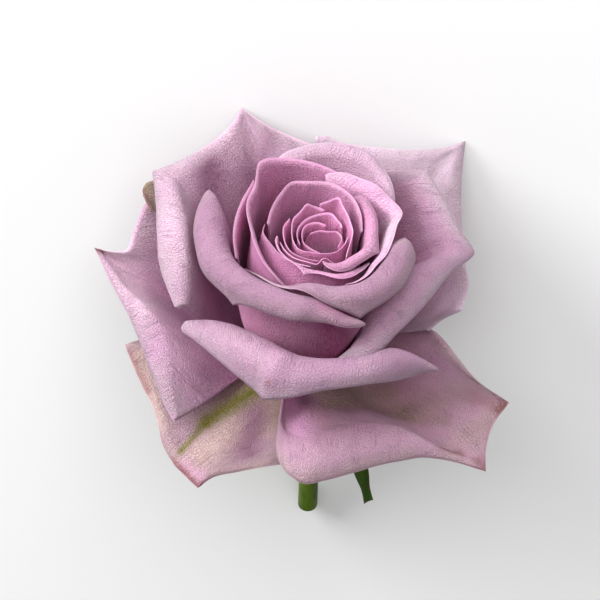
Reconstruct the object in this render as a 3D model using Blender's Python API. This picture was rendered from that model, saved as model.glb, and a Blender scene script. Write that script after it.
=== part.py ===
"""A lavender hybrid tea rose in full bloom on a short cut stem, lying on a table on its back petals.

Everything is first built in the flower's own frame, in millimetres: the origin is where the petals meet
the hip, +Z runs up through the bloom, +X is the viewer's right and -Y is towards the viewer. The last step
lays the whole flower down as it rests and turns it into metres.
"""
import bpy
import numpy as np

THICK = 0.42                 # petal thickness
SEPAL_THICK = 0.6
STEM_RADIUS = 2.75
STEM_TOP, STEM_END = -15.0, -84.0
STEM_SIDES = 24
HIP_CLEAR = 0.3              # between the hip and the stem
ROUGHNESS = 0.6
COLOURS = {"petal_skirt": (0.50, 0.29, 0.37), "petal_wing": (0.52, 0.38, 0.46),
           "petal_guard": (0.50, 0.30, 0.41), "petal": (0.55, 0.31, 0.44), "hip": (0.13, 0.22, 0.06),
           "stem": (0.15, 0.26, 0.07), "sepal": (0.12, 0.21, 0.06)}

# Each petal's rim is a few points (x, y, z) along the crest of its rolled edge, from one side to the other.
# Across the rim the lists give, in evenly spaced steps: lean, how far the blade leans out of upright
# below the roll; turn, how far the edge rolls over outwards; rho, the roll's radius; lip, the length past
# the roll. foot is the lean at the base, base its (radius, height), pinch how much narrower it is there and
# belly how strongly the blade bows at its two ends. tips adds points to the edge as (place along the rim,
# height, width), corners numbers the rim points where it bends sharply, and ends are the widths over
# which the roll fades at its sides. The order is from the heart outwards: each petal clears the ones before
# it, but for a free one. A petal with drape leaves the next ones room under its rolled edge.
PETALS = {
    "heart": dict(rim=[(0.6, 2.1, 45), (3, 2.6, 45.6), (5.5, 2.4, 45.6), (7.7, 2.5, 45.4), (9, 1, 45),
        (8, -1.6, 44)],
        turn=20, rho=1.5, lip=0.3, lean=-20, foot=10, base=(1, 1), pinch=0.9, belly=(0.3, 0.3)),
    "curl_a": dict(rim=[(4.7, 4.1, 45.5), (2.5, 5, 46), (0, 4.5, 46), (-1.6, 1.6, 46),
        (-1.1, -1.3, 45.5), (0.8, -3, 45.3), (3.3, -4.4, 45)],
        turn=15, rho=1.5, lip=0.2, lean=5, foot=20, base=(2, 0.8), pinch=0.9),
    "curl_b": dict(rim=[(7.5, 2.4, 46), (7.5, 5.8, 47), (6.8, 6.8, 47.3), (2.5, 7.2, 46.8),
        (0.6, 6.4, 46.7), (-1.4, 4.5, 46.5), (-3, 1, 46.4), (-2.2, -2.2, 46)],
        turn=20, rho=1.5, lip=0.2, lean=5, foot=20, base=(2.5, 0.6), pinch=0.9),
    "curl_c": dict(rim=[(4.4, 7.2, 47.5), (1.4, 8.6, 48.5), (0, 8.8, 49.5), (-2.2, 7.2, 48),
        (-3.9, 5.2, 47.7), (-4.4, 2.3, 47.6), (-3.9, -1.7, 47), (-2.7, -3.8, 46.7), (0.8, -5.1, 46.5),
        (4.7, -5.5, 46.5), (7.2, -5.1, 46.5), (9.4, -2.7, 46.5), (10.5, 0, 46.5)],
        turn=20, rho=1.5, lip=0.2, lean=5, foot=20, base=(3, 0.4), pinch=0.9),
    "curl_d": dict(rim=[(3.2, 9.2, 48.5), (6, 10, 49.5), (8.2, 10.2, 50.5), (9.4, 8, 49.5),
        (10.8, 5, 49), (11.6, 2, 48.5), (11.1, -1.7, 47.5), (10.3, -6, 45.5)],
        turn=15, rho=1.5, lip=0.2, lean=5, foot=20, base=(3.5, 0.2), pinch=0.9),
    "frill_left": dict(rim=[(-5, 6.5, 46), (-6.7, 2.4, 47.2), (-6.4, -1.2, 46.5), (-4.6, -4.4, 46),
        (-1, -6.3, 45.6), (3, -6.9, 45)],
        turn=25, rho=1, lip=0.2, lean=10, foot=25, base=(3.8, 0.1), pinch=0.9),
    "frill_front": dict(rim=[(-7, -1, 45.6), (-5.9, -3.9, 46.6), (-3.6, -6.4, 46.4), (0.4, -8.3, 46.4),
        (2.4, -8.6, 46.2), (3.8, -7.6, 47.2), (8, -8.4, 45)],
        turn=[25, 40, 40, 30, 20], rho=1, lip=0.3, lean=10, foot=25, base=(4, 0.1), pinch=0.9),
    "frill_low": dict(rim=[(-8, 0.6, 46.2), (-7.4, -2.8, 46.6), (-5.4, -5.8, 46.6), (-2.4, -7.9, 46.6),
        (0.8, -9.2, 46.2)],
        turn=[30, 50, 50, 40], rho=1, lip=0.3, lean=10, foot=28, base=(4.1, 0.1), pinch=0.9),
    "ring_back": dict(rim=[(14.5, 2, 46), (14, 6.5, 48.5), (11.5, 11.5, 49.5), (6, 15.6, 49.5),
        (0, 16.2, 49.5), (-4.6, 15.8, 49.5), (-6.8, 13, 49.5), (-9.9, 6.6, 49.5), (-10.9, 2.6, 48.8)],
        turn=30, rho=2, lip=0.5, lean=8, foot=40, base=(4.2, 0), pinch=0.8),
    "ring_right": dict(rim=[(12, 11, 48.5), (14.5, 10.5, 48.5), (16.7, 8.2, 48.5), (17.6, 4.75, 48.5),
        (17.6, -0.2, 48.5), (17.3, -4, 48.5), (15.5, -6.6, 48.5), (12.7, -8.8, 48.5),
        (10.2, -10.2, 48.5), (5.8, -10.7, 48.5), (3.9, -8.9, 48.5)],
        turn=[60, 90, 105, 115, 120, 115, 60], rho=1.7, lip=0.8, lean=10, foot=45, base=(4.5, 0),
        pinch=0.8, tips=[(5.3, 1.6, 1.2)]),
    "ring_front": dict(rim=[(-11.2, 3, 48), (-11.8, 0.4, 48.6), (-9.5, -3.9, 48.3), (-6.6, -7.7, 48.3),
        (-3.4, -9.8, 48.3), (-0.4, -11.8, 48.3), (2.9, -12.6, 48), (8.2, -13.8, 47.8),
        (13.5, -11.2, 46.5), (16.5, -7.5, 45)],
        turn=[10, 40, 75, 90, 100, 60], rho=[0.5, 0.7, 0.9, 1.2, 1.5, 1],
        lip=[0.3, 0.6, 0.8, 0.8, 0.8, 0.4], lean=[-5, -18, -22, -18, -5, 8], foot=52, base=(4.8, 0),
        pinch=0.8, tips=[(5, 2.4, 1.2)]),
    "bud_right": dict(rim=[(4.7, 17.3, 49.5), (10, 18.2, 49.5), (14.3, 16.6, 49.5), (18, 14.6, 49.5),
        (21, 11.7, 48.5), (24.7, 7, 47.5), (23.4, 3.6, 47.5), (22.3, -1.6, 47.5), (20.5, -6.6, 47.5),
        (18, -9.6, 47.5), (15.7, -12.5, 46.5), (12.9, -14.8, 46.5), (10, -15, 45.5)],
        turn=[60, 60, 60, 60, 30], rho=[3, 3, 3, 2.2, 1.2], lip=[1, 1, 1, 0.5, 0.2], lean=15, foot=55,
        base=(5.2, 0), pinch=0.75),
    "bud_left": dict(rim=[(10, 17.6, 48.5), (3.3, 21.6, 49.5), (-5, 23, 50.5), (-12.9, 20.9, 52),
        (-14.3, 14.3, 50.5), (-16.1, 10, 49.5), (-15.1, 0.3, 49.5), (-11.6, -8.2, 47.5),
        (-7.6, -11.8, 45.5), (-4, -13.3, 42)],
        turn=40, rho=3, lip=0.5, lean=8, foot=55, base=(5.6, 0), pinch=0.75),
    "bud_side": dict(rim=[(-14.6, 18.8, 46.5), (-18.3, 11, 46), (-19.9, 3.7, 45.5), (-19.3, -3, 41)],
        turn=40, rho=2, lip=0.5, lean=10, foot=60, base=(6.2, -0.3), pinch=0.6),
    "shell_back": dict(rim=[(-9, 26, 43), (-6.9, 27.9, 45), (-2.2, 29.9, 46), (4.7, 31.3, 46),
        (12.9, 29.9, 46), (17.9, 26.6, 46), (19.8, 23.9, 45), (21.7, 20.5, 45), (23.2, 13.2, 44),
        (22.8, 7, 41)],
        turn=70, rho=[3, 3, 3, 2.4, 0.8], lip=[1, 1, 1, 0.8, 0.2], lean=20, foot=60, base=(6.4, -0.3),
        pinch=0.6),
    "collar_right": dict(rim=[(-17.1, -7.2, 42), (-7.7, -14.2, 45.5), (0.5, -18.5, 49),
        (8, -20.5, 49.5), (14, -18.8, 49.3), (20, -14, 48.8), (23.4, -9, 48), (25.4, -3.7, 47.3),
        (26, 0.3, 45.5)],
        turn=[40, 55, 85, 130, 145, 150, 150, 150], rho=[0.6, 0.8, 1.4, 2.4, 3.2, 3.8, 4, 4],
        lip=[0.2, 0.3, 0.5, 1, 1.6, 2, 2, 2], lean=10, foot=60, base=(6.8, -0.6), pinch=0.6,
        tips=[(3.7, 4, 3)], ends=(1, 6), drape=True),
    "collar_left": dict(rim=[(-26.8, 18.9, 42), (-27.6, 6.8, 43.5), (-23.4, -6, 45.2),
        (-15.5, -14.8, 46.8), (-7.7, -19.5, 47.6), (-2.2, -22.3, 47.6), (4.7, -23.8, 46.7),
        (10, -26, 45.2), (15.3, -26.1, 43.2)],
        turn=[120, 150, 170, 170, 170, 165, 150, 120], rho=[4.2, 4.4, 4.4, 4, 3.5, 3.3, 2.6, 1.1],
        lip=[2, 3, 3.5, 2.6, 1.8, 1.6, 1.4, 0.5], lean=[25, 20, 10, 12, 18], foot=[60, 60, 60, 56, 50],
        base=(7.2, -0.8), pinch=0.6, tips=[(2.9, 3.5, 2.5)], ends=(9, 2)),
    "guard_right": dict(rim=[(19, 27.5, 38), (27, 28.6, 37.5), (32.2, 28.8, 37), (37.3, 19.2, 35),
        (40.5, 12.2, 33), (42.5, 6.8, 31.5), (36, -1, 34.5), (30.5, -8, 36.5), (23.4, -15, 36),
        (15.8, -21.8, 33.4), (6.8, -27.6, 28.2)],
        turn=[60, 70, 80, 100, 125, 145, 150, 90], rho=[3, 6, 7, 7, 6.5, 6, 4.5, 0.8],
        lip=[1, 1, 1, 1, 1, 1.5, 1, 0], lean=[30, 35, 35, 30, 15, 10], foot=65, base=(7.6, -1),
        pinch=0.6, corners=(2,), tips=[(5, 2, 3)]),
    "wing_back_left": dict(rim=[(-34.8, -7.4, 24), (-36.6, -0.7, 27.5), (-37.5, 4.5, 30),
        (-38, 11.2, 33), (-38.6, 16.7, 35), (-40, 23.9, 36.5), (-41.2, 29.4, 37), (-36.4, 30.3, 38.5),
        (-28, 36.5, 38.5), (-21, 43.3, 38.5), (-18.2, 49, 39), (-11.1, 42.6, 39.5), (-2.2, 36.8, 40.5),
        (3.9, 33.6, 41)],
        turn=[100, 120, 125, 110, 70, 40, 20, 25, 30], rho=[2.5, 4.2, 4.6, 4.6, 5, 4, 3, 3, 3],
        lip=[1, 2, 2, 1.5, 1, 1, 1], lean=[30, 30, 35, 45, 50, 50, 45, 40, 35], foot=75,
        base=(8.4, -1.5), pinch=0.6, corners=(6, 10)),
    "withered": dict(rim=[(-43.3, 23, 28), (-44.6, 25, 29.4), (-45.3, 27, 30.5), (-44.2, 29.2, 31),
        (-42, 30.9, 30.4)],
        turn=40, rho=1, lip=0.6, lean=50, foot=75, base=(8.5, -1.5), pinch=1.4),
    "guard_front": dict(rim=[(-33, -13.8, 26.5), (-27, -18, 30), (-16, -26.7, 33.5),
        (-6.3, -32.6, 34.6), (6, -34.6, 36.2), (17.5, -33.9, 36.9), (25.3, -29.9, 33.7), (35.2, -30, 27)],
        turn=[110, 145, 160, 165, 165, 168, 170, 150], rho=[3.5, 4.6, 5.6, 5.8, 4.3, 3.8, 4.4, 0.8],
        lip=[2, 2.5, 3, 3, 2.2, 2, 2, 0], lean=[20, 15, 8, -3, -3, 10, 45], foot=70, base=(8, -1.2),
        pinch=0.6, tips=[(2.75, 2.5, 4)], ends=(3, 0)),
    "wing_back_right": dict(rim=[(2, 40.5, 37), (5.1, 41.4, 36), (7.9, 40.1, 35.5), (16, 38.6, 35),
        (31.9, 38.8, 33.5), (38.6, 40.2, 33), (43, 42.1, 33), (42.1, 34.7, 27.5), (41.9, 30.7, 24),
        (42.1, 24.7, 20.5), (43, 13, 16), (43.9, 8.6, 14), (42.1, 0.5, 11.5), (36.5, -1.5, 9.5),
        (33, -4, 8)],
        turn=[30, 30, 40, 50, 50, 40, 30, 30, 30], rho=[3, 4, 4, 4, 5, 5, 5, 4, 3], lip=1,
        lean=[45, 50, 55, 60, 60, 65, 70], foot=85, base=(8.8, -2), pinch=0.6, free=True,
        corners=(1, 6, 12)),
    "wing_left": dict(rim=[(-36.5, -28, -1), (-39.8, -22.5, 2), (-43, -13, 4.5), (-46, -5, 7),
        (-51.6, 5.3, 11), (-58.6, 18.3, 16), (-54, 15.7, 17.5), (-50.2, 14.9, 19), (-47.6, 19.9, 22),
        (-43.5, 27.8, 26), (-36, 33, 27)],
        turn=[40, 90, 100, 80, 30, 20, 30, 30], rho=[2, 4, 5, 4, 3, 2, 2, 2],
        lip=[0.5, 1, 1, 1, 0.5, 0.5, 0.5], lean=[80, 70, 60, 60, 60, 55], foot=92, base=(9.2, -2.4),
        pinch=0.8, free=True, corners=(5,)),
    "skirt_right": dict(rim=[(-6.9, -21, 2), (-8, -29, 1.5), (-8.5, -37, 0), (-6.4, -42.5, -2),
        (-2.3, -45, -3), (5, -43.6, -2.5), (11.9, -41.8, -2.5), (18.7, -39.8, -2.5), (32.4, -37.7, -3),
        (41.5, -38.5, -5), (48.4, -40.3, -6.5), (48.6, -34.5, -4), (50.2, -28.9, -2.5),
        (54.9, -22, -0.5), (46.1, -15.6, 1.5), (40.6, -8.8, 3), (34.7, -1, 3.8), (30, 2, 3.6)],
        turn=[30, 60, 100, 100, 90, 50, 30, 20, 30, 30], rho=[3, 6, 8, 8, 7, 5, 3, 3, 3, 3],
        lip=[0.5, 1, 1, 1, 1, 1, 0.5, 0.5, 0.5, 0.5], lean=[70, 65, 65, 70, 75, 80, 80, 75], foot=112,
        base=(9.6, -2.8), pinch=0.6, free=True, corners=(10, 13)),
    "skirt_left": dict(rim=[(-4, -37, -8), (-9.4, -37.6, -8), (-19.8, -38.8, -9.5),
        (-26.2, -39.8, -10.5), (-30.1, -42.4, -11.5), (-36.2, -36.2, -10), (-39.7, -30.3, -9),
        (-41.7, -21.3, -7.5), (-46.3, -10.3, -6.5), (-50.4, 0.3, -5), (-45.8, 1.4, -3.5), (-38, 3, -3)],
        turn=[20, 30, 40, 40, 30, 30, 20], rho=[2, 3, 3, 3, 3, 2], lip=[0.5, 1, 1, 1, 0.5],
        lean=[90, 95, 95, 90], foot=100, base=(10, -3.2), pinch=0.6, free=True, corners=(4, 9)),
}
# columns, then rows up the blade, round the roll and along the lip
GRID = (18, 7, 4, 1)
GRIDS = {"heart": (8, 5, 1, 1), "curl_a": (12, 5, 1, 1), "curl_b": (12, 5, 1, 1),
         "curl_c": (18, 5, 1, 1), "curl_d": (10, 5, 1, 1), "frill_left": (10, 5, 1, 1),
         "frill_front": (10, 5, 1, 1), "frill_low": (10, 5, 1, 1), "ring_back": (18, 6, 2, 1),
         "ring_right": (20, 6, 2, 1), "ring_front": (18, 6, 2, 1), "bud_right": (20, 6, 2, 1),
         "bud_left": (20, 6, 2, 1), "bud_side": (8, 6, 2, 1), "withered": (5, 7, 2, 1),
         "shell_back": (16, 6, 2, 1)}
LYING = (20.252, -3.972)     # the pitch and roll, in degrees, at which it rests
STEM_BEND = (0.4, 0.9)
HIP = [(0.8, 0.3), (3.0, -0.1), (5.6, -0.45), (6.6, -0.75), (7.6, -1.25), (8.3, -1.95), (8.8, -2.6),
       (9.1, -3.2), (8.9, -4.6), (8.2, -6.6), (7.1, -9.2), (5.5, -11.6), (4.1, -13.6), (3.3, STEM_TOP)]
# Sepals: (azimuth of the base, tip x, y, z, how far the middle bows out). Their half widths run from base
# to tip, where they end bluntly.
SEPALS = {"front_right": (-62, 16.7, -27.6, -41.0, 4.6), "right": (10, 27.0, 4.0, -33.0, 5.0),
          "back": (84, 1.0, 14.5, -36.0, 3.0), "left": (152, -19.0, 9.5, -34.0, 4.0),
          "front_left": (-134, -13.5, -14.5, -36.0, 4.0)}
SEPAL_BASE = (9.0, -6.4)
SEPAL_HALF = (3.6, 3.4, 3.0, 2.7, 2.4, 2.0, 1.3, 1.4)


def sepal(name, cols, rows):
    """Grid of points of one sepal: down and out from the top of the hip, dished across."""
    azimuth, *tip, bow = SEPALS[name]
    a = np.radians(azimuth)
    tip = np.array(tip)
    base = np.array([SEPAL_BASE[0] * np.cos(a), SEPAL_BASE[0] * np.sin(a), SEPAL_BASE[1]])
    out = np.array([np.cos(a), np.sin(a), 0.0])
    side = np.array([-np.sin(a), np.cos(a), 0.0])
    t = np.linspace(0, 1, cols + 1)[:, None]
    line = base + (tip - base) * t + out * bow * np.sin(np.pi * t)
    half = curve(SEPAL_HALF, t[:, 0])[:, 0]
    w = np.linspace(-1, 1, rows + 1)
    dish = out * 0.25 * (w ** 2)[None, :, None] * half[:, None, None]
    return line[:, None] + side * (half[:, None] * w)[..., None] + dish


LEAN = 0.074      # the bloom's axis leans this much toward +x for each mm of height


def curve(values, at):
    """Smooth curve through evenly spaced values (rows), read at positions 0..1."""
    values = np.atleast_2d(np.asarray(values, float).T).T
    n = len(values)
    if n == 1:
        return np.repeat(values, len(at), axis=0)
    if n == 2:
        return values[0] + (values[1] - values[0]) * at[:, None]
    knots = np.linspace(0, 1, n)
    return hermite(knots, values, at)


def hermite(knots, values, at):
    slope = np.diff(values, axis=0) / np.diff(knots)[:, None]
    h = np.diff(knots)[:, None]
    inner = (slope[:-1] * h[1:] + slope[1:] * h[:-1]) / (h[1:] + h[:-1])
    tangent = np.vstack([slope[:1], inner, slope[-1:]])
    i = np.clip(np.searchsorted(knots, at, side="right") - 1, 0, len(knots) - 2)
    h = (knots[i + 1] - knots[i])[:, None]
    f = ((at - knots[i])[:, None]) / h
    return (values[i] * (1 + 2 * f) * (1 - f) ** 2 + tangent[i] * h * f * (1 - f) ** 2
            + values[i + 1] * f * f * (3 - 2 * f) + tangent[i + 1] * h * f * f * (f - 1))


def outline(points, at, corners=()):
    """Points along the rim at positions 0..1, its knots and its length. It bends sharply at the corners."""
    points = np.asarray(points, float)
    way = np.concatenate([[0], np.cumsum(np.linalg.norm(np.diff(points, axis=0), axis=1))])
    knots = way / way[-1]
    cuts = [0, *corners, len(points) - 1]
    found = np.empty((len(at), 3))
    for a, b in zip(cuts, cuts[1:]):
        here = (at >= knots[a]) & (at <= knots[b])
        found[here] = hermite(knots[a:b + 1], points[a:b + 1], at[here])
    return found, knots, way[-1]


def columns(petal, count):
    """Positions 0..1 for about count columns across a petal, one of them on each corner of its rim."""
    _, knots, _ = outline(petal["rim"], np.zeros(1))
    cuts = [knots[i] for i in (0, *petal.get("corners", ()), len(knots) - 1)]
    parts = [np.linspace(a, b, max(2, round(count * (b - a))) + 1)[:-1] for a, b in zip(cuts, cuts[1:])]
    return np.concatenate(parts + [[1.0]])


def softened(points, s, corners):
    """The rim with its corners worn off: the mean of the rim over a short stretch on either side."""
    reach = np.minimum(SOFT, np.minimum(s, 1 - s))
    return np.mean([outline(points, s + f * reach, corners)[0] for f in np.linspace(-1, 1, 9)], axis=0)


def rounding(s, length, ends):
    """1 along the rim, falling to 0 as a quarter circle over the two ends' widths."""
    left, right = (np.clip(d * length / max(w, 1e-6), 0, 1) for d, w in ((s, ends[0]), (1 - s, ends[1])))
    return np.sqrt((1 - (1 - left) ** 2) * (1 - (1 - right) ** 2))


DEFAULT = dict(lean=10, turn=90, rho=2.5, lip=1.0, foot=60, belly=(0.42, 0.40), base=(4.0, 0.0), pinch=0.55,
               tips=(), corners=(), ends=(0, 0))


AZ_STEP, Z_STEP, Z_LOW = 3.0, 1.0, -30.0
GAP = 0.8          # between the middle surfaces of neighbouring petals
SOFT = 0.11        # share of the rim's length over which its corners are worn off lower down the blade
FADE = 5           # how fast the corners appear towards the rim


def blur(d, axis, times):
    for _ in range(times):
        low = np.concatenate([d.take([0], axis), d.take(range(d.shape[axis] - 1), axis)], axis)
        high = np.concatenate([d.take(range(1, d.shape[axis]), axis), d.take([-1], axis)], axis)
        d = (low + 2 * d + high) / 4
    return d


def spread_max(d, axis, times, wrap=False):
    for _ in range(times):
        if wrap:
            low, high = np.roll(d, 1, axis), np.roll(d, -1, axis)
        else:
            low = np.concatenate([d.take([0], axis), d.take(range(d.shape[axis] - 1), axis)], axis)
            high = np.concatenate([d.take(range(1, d.shape[axis]), axis), d.take([-1], axis)], axis)
        d = np.maximum(d, np.maximum(low, high))
    return d


def reach(field, points):
    """The field's value (radius taken so far) at each point's azimuth and height."""
    z = points[..., 2]
    az = np.degrees(np.arctan2(points[..., 1], points[..., 0] - LEAN * z)) / AZ_STEP % field.shape[0]
    h = np.clip((z - Z_LOW) / Z_STEP, 0, field.shape[1] - 1.001)
    i, j = np.floor(az).astype(int) % field.shape[0], np.floor(h).astype(int)
    k = (i + 1) % field.shape[0]
    f, g = az - np.floor(az), h - j
    return ((field[i, j] * (1 - f) + field[k, j] * f) * (1 - g)
            + (field[i, j + 1] * (1 - f) + field[k, j + 1] * f) * g)


def settle(petals):
    """Goes from the heart outwards and finds how far each petal moves out to clear those before it."""
    field = np.zeros((int(360 / AZ_STEP), 100))
    pushes = {}
    for name, petal in petals.items():
        s = np.linspace(0, 1, 49)
        points = surface(petal, s, 24, 10, 6)
        radius = np.hypot(points[..., 0] - LEAN * points[..., 2], points[..., 1])
        along = np.gradient(points, axis=1)
        rise = np.abs(along[..., 2]) / (np.linalg.norm(along, axis=2) + 1e-9)
        need = reach(field, points) + GAP / np.maximum(rise, 0.45) - radius
        need[reach(field, points) == 0] = 0
        need[:, 29:] = 0
        need = np.clip(need, 0, None) * (not petal.get("free"))
        push = spread_max(spread_max(need, 0, 2), 1, 1)
        push = blur(blur(push, 0, 6), 1, 3)
        push[:, 25:] = push[:, 24:25]
        pushes[name] = push
        fine = surface(petal, np.linspace(0, 1, 241), 120, 30, 20, push)
        radius = np.hypot(fine[..., 0] - LEAN * fine[..., 2], fine[..., 1])
        last = 121 + (15 if petal.get("drape") else 50)
        az = (np.round(np.degrees(np.arctan2(fine[..., 1], fine[..., 0] - LEAN * fine[..., 2])) / AZ_STEP)
              .astype(int) % field.shape[0])
        h = np.clip(np.round((fine[..., 2] - Z_LOW) / Z_STEP).astype(int), 0, field.shape[1] - 1)
        mine = np.zeros_like(field)
        np.maximum.at(mine, (az[:, :last], h[:, :last]), radius[:, :last])
        mine = spread_max(mine, 0, 1, wrap=True)
        field = np.maximum(field, mine)
    return pushes


def resample(grid, s, rows):
    """The 49 x 41 grid of pushes read at other columns and rows."""
    x = s * (grid.shape[0] - 1)
    i = np.clip(np.floor(x).astype(int), 0, grid.shape[0] - 2)
    f = (x - i)[:, None]
    across = grid[i] * (1 - f) + grid[i + 1] * f
    j = np.clip(np.floor(rows).astype(int), 0, grid.shape[1] - 2)
    g = (rows - j)[None]
    return across[:, j] * (1 - g) + across[:, j + 1] * g


def around(points):
    """Azimuth of each point about the bloom's axis, and its (radius, height)."""
    x = points[:, 0] - LEAN * points[:, 2]
    azimuth = np.unwrap(np.arctan2(points[:, 1], x))
    return azimuth, np.stack([np.hypot(x, points[:, 1]), points[:, 2]], axis=1)


def surface(petal, s, nb, nr, nl, push=None):
    """Points [len(s), nb+nr+nl+1, 3] of the petal's middle surface, in mm in the flower's frame."""
    p = {**DEFAULT, **petal}
    rim, knots, length = outline(p["rim"], s, p["corners"])
    soft = softened(p["rim"], s, p["corners"])
    a, crest = around(rim)
    soft_a, soft_crest = around(soft)
    soft_a += 2 * np.pi * np.round((a.mean() - soft_a.mean()) / (2 * np.pi))
    lean, turn, foot = (np.radians(curve(p[k], s)[:, 0]) for k in ("lean", "turn", "foot"))
    turn = np.maximum(turn, 0.02)
    whole = rounding(s, length, p["ends"])
    rho = np.maximum(curve(p["rho"], s)[:, 0] * whole, 0.5)
    lip = np.maximum(curve(p["lip"], s)[:, 0] * whole, 0.15)
    flat = lip * np.maximum(np.cos(turn), 0)
    for where, height, width in p["tips"]:
        i = int(np.floor(min(where, len(knots) - 1.001)))
        at = knots[i] + (knots[i + 1] - knots[i]) * (where - i)
        lip = lip + height * np.exp(-np.abs(s - at) * length / width)
    up = np.stack([np.sin(lean), np.cos(lean)], axis=1)
    out = np.stack([np.cos(lean), -np.sin(lean)], axis=1)
    top = np.minimum(turn, np.pi / 2)
    start = crest - (rho * np.sin(top) + flat)[:, None] * up - (rho * (1 - np.cos(top)))[:, None] * out
    mid = (soft_a.min() + soft_a.max()) / 2
    root = mid + (soft_a - mid) * p["pinch"]
    base = np.array(p["base"], float)
    span = np.linalg.norm(start - base, axis=1)[:, None]
    first = base + p["belly"][0] * span * np.stack([np.sin(foot), np.cos(foot)], axis=1)
    last = start - p["belly"][1] * span * up
    q = np.linspace(0, 1, nb + 1)[None, :, None]
    body = (base * (1 - q) ** 3 + 3 * first[:, None] * q * (1 - q) ** 2
            + 3 * last[:, None] * q * q * (1 - q) + start[:, None] * q ** 3)
    body += (soft_crest - crest)[:, None] * (1 - q ** FADE) * q
    way_in = soft_a[:, None] + (a - soft_a)[:, None] * q[..., 0] ** FADE
    azimuth = root[:, None] + (way_in - root[:, None]) * (q[..., 0] * (2 - q[..., 0]))
    phi = turn[:, None] * np.linspace(0, 1, nr + 1)[None, 1:]
    arc = (start[:, None] + (rho[:, None] * np.sin(phi))[..., None] * up[:, None]
           + (rho[:, None] * (1 - np.cos(phi)))[..., None] * out[:, None])
    way = np.cos(turn)[:, None] * up + np.sin(turn)[:, None] * out
    tau = np.linspace(0, 1, nl + 1)[1:]
    tail = arc[:, -1:] + (lip[:, None] * tau)[..., None] * way[:, None]
    profile = np.concatenate([body, arc, tail], axis=1)
    azimuth = np.concatenate([azimuth, np.repeat(a[:, None], nr + nl, axis=1)], axis=1)
    r, z = profile[..., 0], profile[..., 1]
    if push is not None:
        rows = np.concatenate([np.linspace(0, 24, nb + 1), 24 + np.linspace(0, 10, nr + 1)[1:],
                               34 + np.linspace(0, 6, nl + 1)[1:]])
        r = r + resample(push, s, rows)
    return np.stack([r * np.cos(azimuth) + LEAN * z, r * np.sin(azimuth), z], axis=2)


def shell(points, thick):
    """Vertices and triangles of a closed sheet of this thickness around a grid of points."""
    across, along = np.gradient(points, axis=0), np.gradient(points, axis=1)
    normal = np.cross(across, along)
    normal /= np.linalg.norm(normal, axis=2, keepdims=True) + 1e-12
    rows, cols = points.shape[:2]
    index = np.arange(rows * cols).reshape(rows, cols)
    back = index + rows * cols
    vertices = np.concatenate([(points + normal * thick / 2).reshape(-1, 3),
                               (points - normal * thick / 2).reshape(-1, 3)])
    quads = [strip(index[:-1, :-1], index[1:, :-1], index[1:, 1:], index[:-1, 1:]),
             strip(back[:-1, :-1], back[:-1, 1:], back[1:, 1:], back[1:, :-1]),
             strip(index[:-1, 0], back[:-1, 0], back[1:, 0], index[1:, 0]),
             strip(index[:-1, -1], index[1:, -1], back[1:, -1], back[:-1, -1]),
             strip(index[0, :-1], index[0, 1:], back[0, 1:], back[0, :-1]),
             strip(index[-1, :-1], back[-1, :-1], back[-1, 1:], index[-1, 1:])]
    return vertices, facing_out(vertices, np.concatenate(quads))


def strip(a, b, c, d):
    """Two triangles for each quad of these corners."""
    a, b, c, d = (np.ravel(corner) for corner in (a, b, c, d))
    return np.concatenate([np.stack([a, b, c], axis=1), np.stack([a, c, d], axis=1)])


def volume(vertices, faces):
    a, b, c = (vertices[faces[:, k]] for k in range(3))
    return np.einsum("ij,ij->i", a, np.cross(b, c)).sum() / 6


def facing_out(vertices, faces):
    return faces if volume(vertices, faces) > 0 else faces[:, ::-1]


def turned(profile, sides, centre=lambda z: (0.0, 0.0)):
    """A closed solid turned from (radius, height) points, from top to bottom; centre shifts each ring."""
    angles = np.arange(sides) * 2 * np.pi / sides
    rings = [np.stack([r * np.cos(angles) + centre(z)[0], r * np.sin(angles) + centre(z)[1],
                       np.full(sides, z)], axis=1) for r, z in profile]
    top, bottom = (np.array([[*centre(z), z]]) for z in (profile[0][1], profile[-1][1]))
    vertices = np.concatenate(rings + [top, bottom])
    ring = np.arange(sides)
    after = (ring + 1) % sides
    faces = [strip(k * sides + ring, (k + 1) * sides + ring, (k + 1) * sides + after, k * sides + after)
             for k in range(len(profile) - 1)]
    head, foot, last = len(vertices) - 2, len(vertices) - 1, (len(profile) - 1) * sides
    faces.append(np.stack([np.full(sides, head), ring, after], axis=1))
    faces.append(np.stack([np.full(sides, foot), last + after, last + ring], axis=1))
    faces = np.concatenate(faces)
    return vertices, facing_out(vertices, faces)


def stem_centre(z):
    """The stem bends a little between the hip and the cut."""
    t = (STEM_TOP - z) / (STEM_TOP - STEM_END)
    return STEM_BEND[0] * np.sin(np.pi * t), STEM_BEND[1] * np.sin(np.pi * t)


def stem():
    heights = np.linspace(STEM_TOP - HIP_CLEAR, STEM_END, 10)
    return turned([(STEM_RADIUS + 0.35 * max(0.0, 1 - (STEM_TOP - z) / 12), z) for z in heights],
                  STEM_SIDES, stem_centre)


def petal(name, push):
    cols, body, arc, lip = GRIDS.get(name, GRID)
    points = surface(PETALS[name], columns(PETALS[name], cols), body, arc, lip, push)
    return shell(points, THICK)


def turn_down():
    """The turn that lays the flower on its back petals, bloom towards -Y."""
    pitch, roll = np.radians(LYING)
    z = np.array([np.sin(roll), -np.cos(roll) * np.cos(pitch), np.cos(roll) * np.sin(pitch)])
    y = z[2] * z - np.array([0, 0, 1])
    y /= np.linalg.norm(y)
    return np.array([np.cross(y, z), y, z])


def lie_down(pieces):
    """The turn and the shift that lay the flower down, its box's bottom centre at the origin."""
    turn = turn_down()
    laid = np.concatenate([vertices for vertices, _ in pieces.values()]) @ turn.T
    low, high = laid.min(axis=0), laid.max(axis=0)
    return turn, -np.array([(low[0] + high[0]) / 2, (low[1] + high[1]) / 2, low[2]])


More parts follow.
